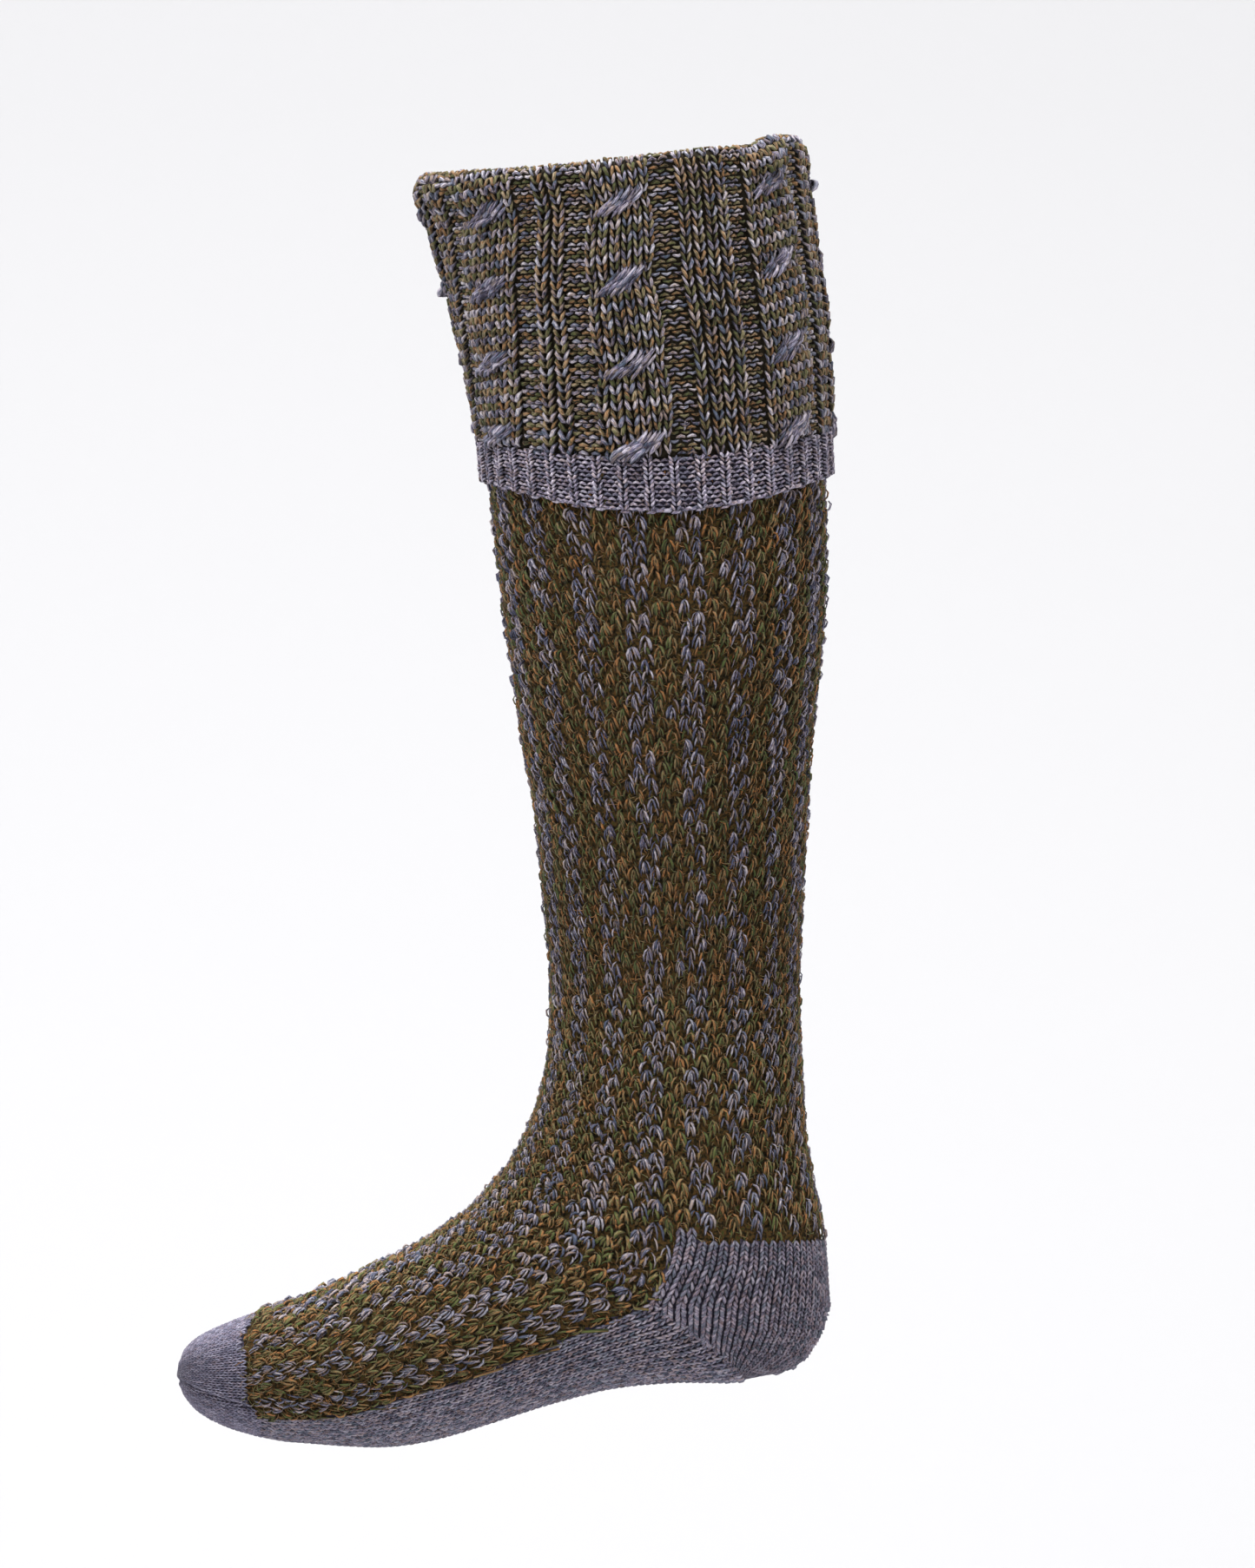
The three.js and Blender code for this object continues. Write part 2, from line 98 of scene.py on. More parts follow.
rows = np.vstack([2 * rows[0] - rows[1], rows, 2 * rows[-1] - rows[-2]])
LAST = len(rows) - 3
print("sections from mouth to toe:", LAST + 1)


# %% [markdown]
# A smooth curve through the rows gives every section between them. Two numbers then name each
# point of the tube: how far along it, counted in rows, and the angle round it. The direction
# in which the fabric faces comes from two small steps over the surface.

# %% The tube as a surface
def section(at):
    """The five section numbers at a place along the tube, counted in rows from the mouth.
    Past the last row they shrink to a point, which rounds off the toe."""
    past = np.clip(at - LAST, 0, 1) * math.pi / 2
    at = np.clip(at, 0, LAST - 1e-6)
    i = at.astype(int)
    t = (at - i)[..., None]
    a, b, c, d = rows[i], rows[i + 1], rows[i + 2], rows[i + 3]
    s = 0.5 * (2 * b + (c - a) * t + (2 * a - 5 * b + 4 * c - d) * t ** 2
               + (3 * b - a - 3 * c + d) * t ** 3)
    middle = (s + s[..., [2, 3, 0, 1, 4]]) / 2 * [1, 1, 1, 1, 0]
    s = middle + (s - middle) * np.cos(past)[..., None]
    s[..., [0, 2]] -= (TOE_CAP * np.sin(past))[..., None]
    return s


def tube(at, angle):
    """A point of the bare tube; the angle runs from the front over the near side (-Y)."""
    s = section(at)
    cos, sin = np.cos(angle), np.sin(angle)
    x = (s[..., 0] + s[..., 2]) / 2 + (s[..., 0] - s[..., 2]) / 2 * cos
    z = (s[..., 1] + s[..., 3]) / 2 + (s[..., 1] - s[..., 3]) / 2 * cos
    return np.stack([x, -s[..., 4] * sin, z], axis=-1)


def unit(v):
    return v / np.maximum(np.linalg.norm(v, axis=-1, keepdims=True), 1e-12)


def tube_normal(at, angle):
    along = tube(at + 0.05, angle) - tube(at - 0.05, angle)
    round_it = tube(at, angle + 0.02) - tube(at, angle - 0.02)
    return unit(np.cross(along, round_it))


# %% Lengths along the tube
TIP = LAST + 0.985
stations = np.linspace(0, TIP, 1200)


def length_line(angle):
    """Length along the tube at one angle, at each station."""
    line = tube(stations, np.full_like(stations, angle))
    return np.concatenate([[0], np.cumsum(np.linalg.norm(np.diff(line, axis=0), axis=1))])


centre_line = (tube(stations, np.zeros_like(stations))
               + tube(stations, np.full_like(stations, math.pi))) / 2
centre_length = np.concatenate([[0], np.cumsum(np.linalg.norm(np.diff(centre_line, axis=0), axis=1))])
print("length down the middle of the sock: %.0f mm" % (1000 * centre_length[-1]))

# %% [markdown]
# ## Borders between the yarns
# The heel, sole and toe are knitted in one plain blue-grey yarn, the leg and instep in a
# pattern. From the side each border is a short line of points, in the same shares of the
# sock's sizes. A stitch belongs to the piece whose outline holds it.

# %% Outlines of the heel, sole and toe
HEEL_TOP = [(0.4, -0.842), (0.128, -0.842), (0.122, -0.834), (0.094, -0.834)]
HEEL_FRONT = [(0.09, -0.843), (0.079, -0.865), (0.059, -0.88), (0.046, -0.89)]
HEEL_SOLE = [(0.108, -0.912), (0.161, -0.93), (0.186, -0.947), (0.19, -1.05)]
SOLE_TOP = [(-0.009, -0.902), (-0.051, -0.911), (-0.121, -0.926), (-0.218, -0.947),
            (-0.325, -0.961), (-0.411, -0.976), (-0.491, -0.979), (-0.553, -0.978)]
TOE_EDGE = [(-0.55, -0.85), (-0.563, -0.901), (-0.578, -0.916), (-0.576, -0.939), (-0.57, -0.966)]
INSTEP_TOP = -0.65
in_metres = np.array([FOOT_LENGTH, SOCK_HEIGHT])
heel_outline = np.array(HEEL_TOP + HEEL_FRONT + HEEL_SOLE + [(0.4, -1.05)]) * in_metres
sole_outline = np.array(HEEL_SOLE[::-1] + HEEL_FRONT[-1:] + SOLE_TOP + [(-0.55, -1.05)]) * in_metres
toe_outline = np.array(TOE_EDGE + SOLE_TOP[-1:] + [(-0.55, -1.05), (-0.9, -1.05), (-0.9, -0.85)])
toe_outline = toe_outline * in_metres
print("points in the outlines:", len(heel_outline), len(sole_outline), len(toe_outline))


# %% Whether a stitch lies in an outline
def inside(point, outline):
    """Whether points lie in an outline seen from the side."""
    x, z = point[..., 0], point[..., 2]
    hit = np.zeros(x.shape, dtype=bool)
    for (x0, z0), (x1, z1) in zip(outline, np.roll(outline, -1, axis=0)):
        if z0 != z1:
            hit ^= ((z0 > z) != (z1 > z)) & (x < (x1 - x0) * (z - z0) / (z1 - z0) + x0)
    return hit


print("the toe's last row lies in the toe:", inside(rows[-2][None, [0, 0, 1]], toe_outline)[0])

# %% Where the instep ends round the foot
# Angle from the front at which each section meets the border of the instep: a quarter turn
# on the leg, and further down along the foot.
border = np.array(HEEL_FRONT + SOLE_TOP)[::-1] * in_metres
HEEL_TOP_AT = 16.05
half_turn = np.linspace(0.3, math.pi, 400)
border_angle = []
for at in stations:
    side = tube(np.full_like(half_turn, at), half_turn)
    below = side[:, 2] < np.interp(side[:, 0], border[:, 0], border[:, 1])
    found = half_turn[np.argmax(below)] if below.any() else math.pi / 2
    border_angle.append(found if at > HEEL_TOP_AT else math.pi / 2)
border_angle = np.convolve(np.pad(border_angle, 20, mode="edge"), np.ones(41) / 41, mode="valid")
print("the instep reaches %.0f degrees round the ball of the foot"
      % math.degrees(np.interp(24, stations, border_angle)))

# %% [markdown]
# ## Where each stitch sits
# Knitting has its own two directions: wales, the columns of stitches, and courses, the rows.
# Each piece gets one function that turns a wale and a course number into a point. The stitches
# are then laid by counting, as a knitter does, and they follow every bend of the form.
# On the leg 72 wales go round. The front 36 go on over the instep, and the back 36 end at the
# heel.

# %% Wales and courses of the leg
LEG_WALES = 72
REPEAT = 0.0096  # height of one pattern repeat
FIRST_UNDER_CUFF, LAST_ON_FOOT = 3.25, 27.9  # sections between which the pattern runs
leg_length = length_line(math.radians(80))
LEG_START = np.interp(FIRST_UNDER_CUFF, stations, leg_length)


def leg_place(wale, course):
    w = (wale + LEG_WALES / 2) % LEG_WALES - LEG_WALES / 2
    part = np.abs(w) / (LEG_WALES / 4)
    at = np.interp(LEG_START + course * REPEAT, leg_length, stations)
    edge = np.interp(at, stations, border_angle)
    angle = np.where(part < 1, part * edge, edge + (math.pi - edge) * (part - 1))
    # Behind, the courses run level into the heel's top edge.
    late = np.clip((at - 10) / (HEEL_TOP_AT - 10), 0, 1)
    level = 1.45 * late ** 2 * np.where(part > 1, -np.cos(np.maximum(angle, math.pi / 2)), 0)
    return tube(at - level, np.sign(w) * angle)


wale_step = np.diff(leg_place(np.array([18.5, 19.5]), np.array([10.0, 10.0])), axis=0)
print("a wale at the side of the calf is %.1f mm wide" % (1000 * np.linalg.norm(wale_step)))

# %% [markdown]
# The sole lies between the two borders of the instep. On the real foot its wales stay equally
# wide and its rows equally high, also where the foot turns up into the heel. So the lengths
# round and along the tube are measured first, and its points are kept in a small grid.

# %% Wales and courses of the sole
SOLE_WALES, SOLE_ROW = 32, 0.0027
SOLE_ZERO = 19.0  # the section that the courses are counted from
sole_courses = np.arange(-16, 90)
sole_shares = np.arange(-1, SOLE_WALES // 2 + 1) / (SOLE_WALES // 2)
round_under = np.linspace(0.2, math.pi, 80)
sole_angles = []
for at, edge in zip(stations, border_angle):
    ring = tube(np.full_like(round_under, at), round_under)
    length = np.concatenate([[0], np.cumsum(np.linalg.norm(np.diff(ring, axis=0), axis=1))])
    edge_length = np.interp(edge, round_under, length)
    lengths_here = edge_length + (length[-1] - edge_length) * sole_shares
    sole_angles.append(np.interp(lengths_here, length, round_under))
sole_angles = np.array(sole_angles)
near_wales = []
for angles in sole_angles.T:
    line = tube(stations, angles)
    length = np.concatenate([[0], np.cumsum(np.linalg.norm(np.diff(line, axis=0), axis=1))])
    length -= np.interp(SOLE_ZERO, stations, length)
    at = np.interp(sole_courses * SOLE_ROW, length, stations)
    near_wales.append(tube(at, np.interp(at, stations, angles)))
near_wales = np.array(near_wales)
sole_points = np.concatenate([near_wales, (near_wales * [1, -1, 1])[-2::-1]])
print("points kept for the sole:", sole_points.shape[:2])


def sole_place(wale, course):
    """Wales 0 to 32 under the foot, from border to border; courses towards the toe. Wales are
    equally wide and rows equally high."""
    w = np.clip(wale + 1, 0, len(sole_points) - 1.001)
    c = np.clip(course - sole_courses[0], 0, len(sole_courses) - 1.001)
    i, j = w.astype(int), c.astype(int)
    u, v = (w - i)[..., None], (c - j)[..., None]
    return ((1 - u) * ((1 - v) * sole_points[i, j] + v * sole_points[i, j + 1])
            + u * ((1 - v) * sole_points[i + 1, j] + v * sole_points[i + 1, j + 1]))


# %% [markdown]
# The heel is a pocket of its own. Its courses run level from the front edge (then from the
# slanting turn where heel and sole meet) to the back of the heel, closer and closer under it.
# Each row below gives both ends of such a course seen from the side, and the share of the
# wales that have ended at the turn. The point is then lifted onto the tube.

# %% Wales and courses of the heel
HEEL_COURSES = np.array([  # share of the courses, front x, front z, back x, back z, wales gone
    (0.00, 0.090, -0.842, 0.322, -0.842, 0.00), (0.15, 0.080, -0.860, 0.326, -0.862, 0.00),
    (0.31, 0.047, -0.890, 0.328, -0.890, 0.00), (0.50, 0.085, -0.904, 0.320, -0.914, 0.135),
    (0.70, 0.122, -0.918, 0.296, -0.932, 0.267), (0.85, 0.155, -0.930, 0.258, -0.943, 0.384),
    (1.00, 0.186, -0.947, 0.198, -0.949, 0.495)])
HEEL_ROWS, HEEL_WALES = 36, 42
grid_at, grid_angle = np.meshgrid(np.linspace(12, 20, 160), np.linspace(0.6, math.pi, 120), indexing="ij")
grid_side = tube(grid_at, grid_angle)[..., [0, 2]].reshape(-1, 2)


def lift(x, z):
    """The place along and round the tube whose side view is (x, z), on the near side."""
    flat = np.stack([x.ravel(), z.ravel()], axis=1)
    near = np.concatenate([np.argmin(((part[:, None] - grid_side) ** 2).sum(-1), axis=1)
                           for part in np.array_split(flat, max(1, len(flat) // 400))])
    at, angle = grid_at.ravel()[near], grid_angle.ravel()[near]
    for _ in range(4):
        miss = flat - tube(at, angle)[..., [0, 2]]
        da = (tube(at + 1e-3, angle) - tube(at - 1e-3, angle))[..., [0, 2]] / 2e-3
        dg = (tube(at, angle + 1e-3) - tube(at, angle - 1e-3))[..., [0, 2]] / 2e-3
        det = da[:, 0] * dg[:, 1] - da[:, 1] * dg[:, 0]
        det = np.where(np.abs(det) < 1e-7, 1e-7, det)
        at = at + np.clip((miss[:, 0] * dg[:, 1] - miss[:, 1] * dg[:, 0]) / det, -0.2, 0.2)
        angle = angle + np.clip((da[:, 0] * miss[:, 1] - da[:, 1] * miss[:, 0]) / det, -0.06, 0.06)
        angle = np.clip(angle, 0.5, math.pi)
    return at.reshape(x.shape), angle.reshape(x.shape)


def heel_place(wale, course):
    """Wales 0 to 42 round the back of the heel; courses 0 to 36 from its top edge down."""
    half = 1 - np.abs(wale / (HEEL_WALES / 2) - 1)
    share = np.clip(course / HEEL_ROWS, -0.1, 1)
    fx, fz, bx, bz, gone = (np.interp(share, HEEL_COURSES[:, 0], HEEL_COURSES[:, k])
                            for k in range(1, 6))
    rise = np.minimum(share, 0) * 0.18
    across = (np.sin(half * math.pi / 2) - gone) / (1 - gone)
    x = (fx + (bx - fx) * across) * FOOT_LENGTH
    z = (fz - rise + (bz - fz) * across) * SOCK_HEIGHT
    at, angle = lift(x, z)
    return tube(at, np.where(wale <= HEEL_WALES / 2, angle, -angle))


back = heel_place(np.array([HEEL_WALES / 2]), np.array([HEEL_ROWS / 2.0]))[0]
print("the back of the heel stands %.0f mm behind the mouth's centre" % (1000 * back[0]))

# %% [markdown]
# The toe's wales run on round the tube to its tip. Its two halves are joined by a seam that
# shows as a groove under a soft lip, so the toe's points are lifted and sunk a little there.

# %% Wales and courses of the toe
TOE_WALES, TOE_ROW = 64, 0.0021
TOE_FIRST = 27.3  # the section where the toe's courses begin
toe_length = length_line(math.radians(90))
TOE_START = np.interp(TOE_FIRST, stations, toe_length)
TOE_SEAM = np.array([(-0.675, -0.950), (-0.632, -0.9595), (-0.565, -0.970), (-0.55, -0.972)]) * in_metres


def seam_relief(point):
    """The seam round the toe: a groove under a soft lip. It fades where the toe begins."""
    above = point[..., 2] - np.interp(point[..., 0], TOE_SEAM[:, 0], TOE_SEAM[:, 1])
    strength = np.interp(point[..., 0], [-0.178, -0.172, -0.152, -0.146], [0.55, 1, 1, 0])
    lip = 0.0007 * np.exp(-((above - 0.0022) / 0.0016) ** 2)
    return strength * (lip - 0.0014 * np.exp(-(above / 0.0010) ** 2))


def toe_place(wale, course):
    at = np.interp(TOE_START + course * TOE_ROW, toe_length, stations)
    angle = wale / TOE_WALES * 2 * math.pi
    point = tube(at, angle)
    return point + tube_normal(at, angle) * seam_relief(point)[..., None]


toe_rows = int((toe_length[-1] - TOE_START) / TOE_ROW)
print("courses of the toe:", toe_rows)

# %% [markdown]
# ## Laying yarn
# A knit stitch shows as two short lengths of yarn that lean together like a V, each thick in
# the middle and tucked under its neighbours at both ends. One length of yarn is a short table:
# across the wale, along it, out from the fabric, and how thick. Every length is laid through
# the piece's own function, so it stretches and bends with the fabric. Only its outer side is
# made, because the rest is hidden.

# %% Helpers that lay lengths of yarn
def facing(place, wale, course):
    """Point, outward direction and wale width at each (wale, course)."""
    step_w, step_c = 0.05, 0.05
    over = place(wale + step_w, course) - place(wale - step_w, course)
    down = place(wale, course + step_c) - place(wale, course - step_c)
    return place(wale, course), unit(np.cross(down, over)), np.linalg.norm(over, axis=-1) / (2 * step_w)


def lay(place, wale, course, shape, mirror=1, flow=1, stretch=1.0, loose=0.03):
    """Centre line, outward direction and thickness of one length of yarn at each stitch."""
    across, along, out, thick = np.array(shape, dtype=float).T
    count = len(wale)
    shift = rng.normal(0, loose, (count, 1))
    size = 1 + rng.normal(0, 2.5 * loose, (count, 1))
    w = wale[:, None] + (mirror * across * stretch + shift)
    c = course[:, None] + flow * (along + rng.normal(0, loose, (count, 1)))
    point, normal, pitch = facing(place, w, c)
    pitch = np.minimum(np.median(pitch, axis=1, keepdims=True), 1.4 * np.median(pitch)) * size
    lifted = out + rng.normal(0, 0.6 * loose, (count, 1))
    return point + normal * (lifted * pitch)[..., None], normal, thick * pitch


# %% Turn lengths of yarn into one mesh
def yarn_mesh(name, lengths, sides, spread=210):
    """One object from many lengths of yarn. Its UV runs along and round each length, and the
    colour attribute "strand" holds a random pair for each length."""
    corners, faces, uvs, tones = [], [], [], []
    start = 0
    for centre, normal, radius in lengths:
        count, rings = radius.shape
        ahead = unit(np.gradient(centre, axis=1))
        beside = unit(np.cross(ahead, normal))
        above = np.cross(beside, ahead)
        turn = np.radians(np.linspace(-spread / 2, spread / 2, sides + 1))
        ring = (beside[:, :, None] * np.sin(turn)[:, None] + above[:, :, None] * np.cos(turn)[:, None])
        corners.append((centre[:, :, None] + ring * radius[:, :, None, None]).reshape(-1, 3))
        i = np.arange(rings - 1)[:, None] * (sides + 1) + np.arange(sides)[None, :]
        quad = np.stack([i, i + 1, i + sides + 2, i + sides + 1], axis=-1).reshape(-1, 4)
        base = start + np.arange(count) * rings * (sides + 1)
        faces.append((base[:, None, None] + quad).reshape(-1, 4))
        along = np.broadcast_to(np.linspace(0, 1, rings)[None, :, None], (count, rings, sides + 1))
        across = np.broadcast_to(np.linspace(0, 1, sides + 1), (count, rings, sides + 1))
        uvs.append(np.stack([along, across], axis=-1).reshape(-1, 2))
        chance = rng.random((count, 1, 3))
        tones.append(np.broadcast_to(chance, (count, rings * (sides + 1), 3)).reshape(-1, 3))
        start += count * rings * (sides + 1)
    return make_object(name, np.vstack(corners), np.vstack(faces), np.vstack(uvs), np.vstack(tones))


# %% Make an object and hand it over to the frame
def make_object(name, corners, faces, uvs=None, tones=None):
    """An object from arrays of corners and quads, with its UV and colours if it has any."""
    mesh = bpy.data.meshes.new(name)
    sizes = np.full(len(faces), faces.shape[1])
    mesh.vertices.add(len(corners))
    mesh.vertices.foreach_set("co", corners.astype(np.float32).ravel())
    mesh.loops.add(faces.size)
    mesh.loops.foreach_set("vertex_index", faces.astype(np.int32).ravel())
    mesh.polygons.add(len(faces))
    mesh.polygons.foreach_set("loop_start", (np.cumsum(sizes) - sizes).astype(np.int32))
    mesh.polygons.foreach_set("use_smooth", np.ones(len(faces), dtype=bool))
    mesh.update(calc_edges=True)
    if uvs is not None:
        layer = mesh.uv_layers.new(name="UVMap")
        layer.data.foreach_set("uv", uvs[faces.ravel()].astype(np.float32).ravel())
    if tones is not None:
        attribute = mesh.attributes.new("strand", "FLOAT_COLOR", "POINT")
        rgba = np.hstack([tones, np.ones((len(tones), 1))])
        attribute.data.foreach_set("color", rgba.astype(np.float32).ravel())
    mesh.validate()
    piece = bpy.data.objects.new(name, mesh)
    bpy.context.scene.collection.objects.link(piece)
    return piece


def finish_piece(piece, material, node=None):
    """Give a piece its wool, tie it to the sock's body and let it stand for a plain solid."""
    piece.data.materials.append(material)
    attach(piece, "root")
    if node:
        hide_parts(node)
    print("%-24s %6d faces" % (piece.name, len(piece.data.polygons)))


# %% [markdown]
# ## The yarns
# Both yarns are marls: several coloured wools spun together, so each stitch shows streaks of
# other colours along its length. One node group makes such a colour. Its streaks follow the
# yarn's own UV, with a slight slant for the twist, and two slower noises tint whole stitches.
# The same streaks, as a height, give the fibres their relief.

# %% Node helpers
def node(tree, kind, inputs=None, **settings):
    made = tree.nodes.new(kind)
    for key, value in settings.items():
        setattr(made, key, value)
    for key, value in (inputs or {}).items():
        if isinstance(value, bpy.types.NodeSocket):
            tree.links.new(value, made.inputs[key])
        else:
            made.inputs[key].default_value = value
    return made


def ramp(tree, factor, stops):
    made = node(tree, "ShaderNodeValToRGB", {"Fac": factor})
    elements = made.color_ramp.elements
    while len(elements) < len(stops):
        elements.new(0.5)
    for element, (place, colour) in zip(elements, stops):
        element.position = place
        element.color = (*colour, 1)
    return made.outputs["Color"]


def maths(tree, operation, *values):
    return node(tree, "ShaderNodeMath", dict(enumerate(values)), operation=operation).outputs[0]


def ease_between(tree, value, start, end, low=0.0, high=1.0):
    return node(tree, "ShaderNodeMapRange", {"Value": value, "From Min": start, "From Max": end,
                                             "To Min": low, "To Max": high},
                interpolation_type="SMOOTHSTEP").outputs["Result"]


def blend(tree, factor, first, second, kind="MIX"):
    return node(tree, "ShaderNodeMix", {0: factor, 6: first, 7: second}, data_type="RGBA",
                blend_type=kind).outputs[2]


# %% The marl group: what goes in and out
marl = bpy.data.node_groups.new("marl_yarn", "ShaderNodeTree")
for label in ("Dark", "Main", "Light", "Fleck A", "Fleck B"):
    marl.interface.new_socket(label, in_out="INPUT", socket_type="NodeSocketColor")
marl.interface.new_socket("Fleck share", in_out="INPUT", socket_type="NodeSocketFloat")
marl.interface.new_socket("Color", in_out="OUTPUT", socket_type="NodeSocketColor")
marl.interface.new_socket("Fibres", in_out="OUTPUT", socket_type="NodeSocketFloat")
given = marl.nodes.new("NodeGroupInput").outputs
print("the marl group takes", [socket.name for socket in given if socket.name])

# %% The marl group: streaks, flecks and painted shade
# The numbers after luck move each length of yarn to its own part of the noise. Those after run
# and twist say how many streaks lie along and round it.
uv = node(marl, "ShaderNodeUVMap", uv_map="UVMap").outputs["UV"]
run = node(marl, "ShaderNodeSeparateXYZ", {"Vector": uv}).outputs
chance = node(marl, "ShaderNodeAttribute", attribute_name="strand").outputs["Color"]
luck = node(marl, "ShaderNodeSeparateXYZ", {"Vector": chance}).outputs
twist = maths(marl, "MULTIPLY_ADD", run["X"], 0.30, run["Y"])
fibre_x = maths(marl, "MULTIPLY_ADD", luck["X"], 37.0, maths(marl, "MULTIPLY", run["X"], 4.0))
fibre_y = maths(marl, "MULTIPLY_ADD", luck["Y"], 23.0, maths(marl, "MULTIPLY", twist, 8.5))
fleck_y = maths(marl, "MULTIPLY_ADD", luck["Y"], 51.0, maths(marl, "MULTIPLY", twist, 4.2))
fibre_at = node(marl, "ShaderNodeCombineXYZ", {"X": fibre_x, "Y": fibre_y, "Z": luck["Z"]}).outputs[0]
fleck_at = node(marl, "ShaderNodeCombineXYZ", {"X": fibre_x, "Y": fleck_y, "Z": luck["X"]}).outputs[0]
fibres = node(marl, "ShaderNodeTexNoise", {"Vector": fibre_at, "Scale": 1.0, "Detail": 2.0}).outputs["Fac"]
flecks = node(marl, "ShaderNodeTexNoise", {"Vector": fleck_at, "Scale": 1.0, "Detail": 1.0}).outputs["Fac"]
tone = maths(marl, "MULTIPLY_ADD", maths(marl, "SUBTRACT", luck["Y"], 0.5), 0.30, fibres)
spun = blend(marl, ease_between(marl, tone, 0.34, 0.50), given["Dark"], given["Main"])
spun = blend(marl, ease_between(marl, tone, 0.52, 0.68), spun, given["Light"])
leaning = maths(marl, "MULTIPLY_ADD", maths(marl, "SUBTRACT", luck["Z"], 0.5), 0.36, flecks)
share_a = maths(marl, "MULTIPLY", ease_between(marl, leaning, 0.585, 0.665), given["Fleck share"])
share_b = maths(marl, "MULTIPLY", ease_between(marl, leaning, 0.44, 0.36), given["Fleck share"])
spun = blend(marl, share_a, spun, given["Fleck A"])
spun = blend(marl, share_b, spun, given["Fleck B"])
# Painted shade: each length of yarn is made darker towards its two sides and its two ends, where its
# neighbours shade it.
beside = maths(marl, "ABSOLUTE", maths(marl, "SUBTRACT", run["Y"], 0.5))
side_shade = ease_between(marl, beside, 0.18, 0.48, 1.0, 0.20)
end_shade = ease_between(marl, maths(marl, "ABSOLUTE", maths(marl, "SUBTRACT", run["X"], 0.5)),
                         0.28, 0.50, 1.0, 0.32)
shade = maths(marl, "MULTIPLY", side_shade, end_shade)
shaded = node(marl, "ShaderNodeVectorMath", {0: spun, "Scale": shade}, operation="SCALE").outputs[0]
out = marl.nodes.new("NodeGroupOutput")
marl.links.new(shaded, out.inputs["Color"])
marl.links.new(fibres, out.inputs["Fibres"])
print("nodes in the marl group:", len(marl.nodes))


# %% A wool in one marl
def wool(name, dark, main, light, fleck_a, fleck_b, share, relief=0.0007):
    """A rough, slightly fuzzy wool in one marl."""
    material = bpy.data.materials.new(name)
    material.use_nodes = True
    tree = material.node_tree
    shader = tree.nodes["Principled BSDF"]
    shader.inputs["Roughness"].default_value = 0.85
    shader.inputs["Specular IOR Level"].default_value = 0.25
    shader.inputs["Sheen Weight"].default_value = 0.06
    yarn = node(tree, "ShaderNodeGroup")
    yarn.node_tree = marl
    for label, colour in [("Dark", dark), ("Main", main), ("Light", light), ("Fleck A", fleck_a),
                          ("Fleck B", fleck_b)]:
        yarn.inputs[label].default_value = (*colour, 1)
    yarn.inputs["Fleck share"].default_value = share
    bump = node(tree, "ShaderNodeBump", {"Height": yarn.outputs["Fibres"], "Strength": 0.8,
                                         "Distance": relief})
    tree.links.new(yarn.outputs["Color"], shader.inputs["Base Color"])
    tree.links.new(bump.outputs["Normal"], shader.inputs["Normal"])
    return material


# %% [markdown]
# Each part of the sock has its own mix of the two yarns. In the real sock it is the same wool,
# and small changes of the five colours make each part lighter or darker. The instep's wools are
# the leg's made lighter: painted light for the top of the foot, which faces the light from above.

# %% The wools of each part
blue_wool = wool("blue_marl_wool", (0.022, 0.018, 0.030), (0.172, 0.148, 0.212), (0.54, 0.50, 0.54),
                 (0.30, 0.21, 0.14), (0.080, 0.12, 0.175), 0.55)
leg_blue_wool = wool("leg_blue_marl_wool", (0.014, 0.013, 0.026), (0.140, 0.124, 0.216), (0.60, 0.55, 0.61),
                     (0.36, 0.26, 0.18), (0.050, 0.080, 0.150), 0.6)
# Painted light: the instep's wools are the leg's made lighter, for the top of the foot that faces the light
# from above.
instep_lit_blue_wool = wool("instep_lit_blue_marl_wool", (0.030, 0.027, 0.045), (0.180, 0.165, 0.250),
                        (0.60, 0.55, 0.58), (0.44, 0.31, 0.22), (0.085, 0.12, 0.19), 0.65)
hem_wool = wool("hem_marl_wool", (0.055, 0.048, 0.075), (0.270, 0.232, 0.335), (0.66, 0.60, 0.69),
                (0.32, 0.22, 0.16), (0.12, 0.15, 0.20), 0.45)
sole_wool = wool("sole_marl_wool", (0.036, 0.032, 0.054), (0.205, 0.182, 0.270), (0.52, 0.48, 0.56),
                 (0.40, 0.29, 0.26), (0.12, 0.17, 0.22), 0.55)
heel_wool = wool("heel_marl_wool", (0.045, 0.040, 0.062), (0.170, 0.152, 0.222), (0.40, 0.36, 0.43),
                 (0.33, 0.23, 0.23), (0.10, 0.14, 0.17), 0.5)
toe_wool = wool("toe_marl_wool", (0.085, 0.079, 0.124), (0.205, 0.190, 0.285), (0.40, 0.38, 0.48),
                (0.30, 0.22, 0.23), (0.14, 0.16, 0.22), 0.4, relief=0.0004)
crossing_wool = wool("crossing_marl_wool", (0.022, 0.019, 0.036), (0.165, 0.145, 0.225), (0.50, 0.46, 0.54),
                     (0.22, 0.17, 0.13), (0.080, 0.12, 0.175), 0.5)
olive_wool = wool("olive_marl_wool", (0.014, 0.010, 0.004), (0.104, 0.076, 0.032), (0.31, 0.245, 0.16),
                  (0.33, 0.155, 0.065), (0.074, 0.098, 0.030), 0.55)
leg_olive_wool = wool("leg_olive_marl_wool", (0.012, 0.008, 0.003), (0.120, 0.084, 0.034),
                      (0.27, 0.205, 0.105), (0.38, 0.150, 0.042), (0.070, 0.108, 0.026), 0.85)
instep_lit_olive_wool = wool("instep_lit_olive_marl_wool", (0.018, 0.012, 0.004), (0.160, 0.112, 0.042),
                         (0.32, 0.24, 0.12), (0.42, 0.175, 0.055), (0.095, 0.140, 0.035), 0.8)


print("wools:", [material.name for material in bpy.data.materials if material.name.endswith("wool")])


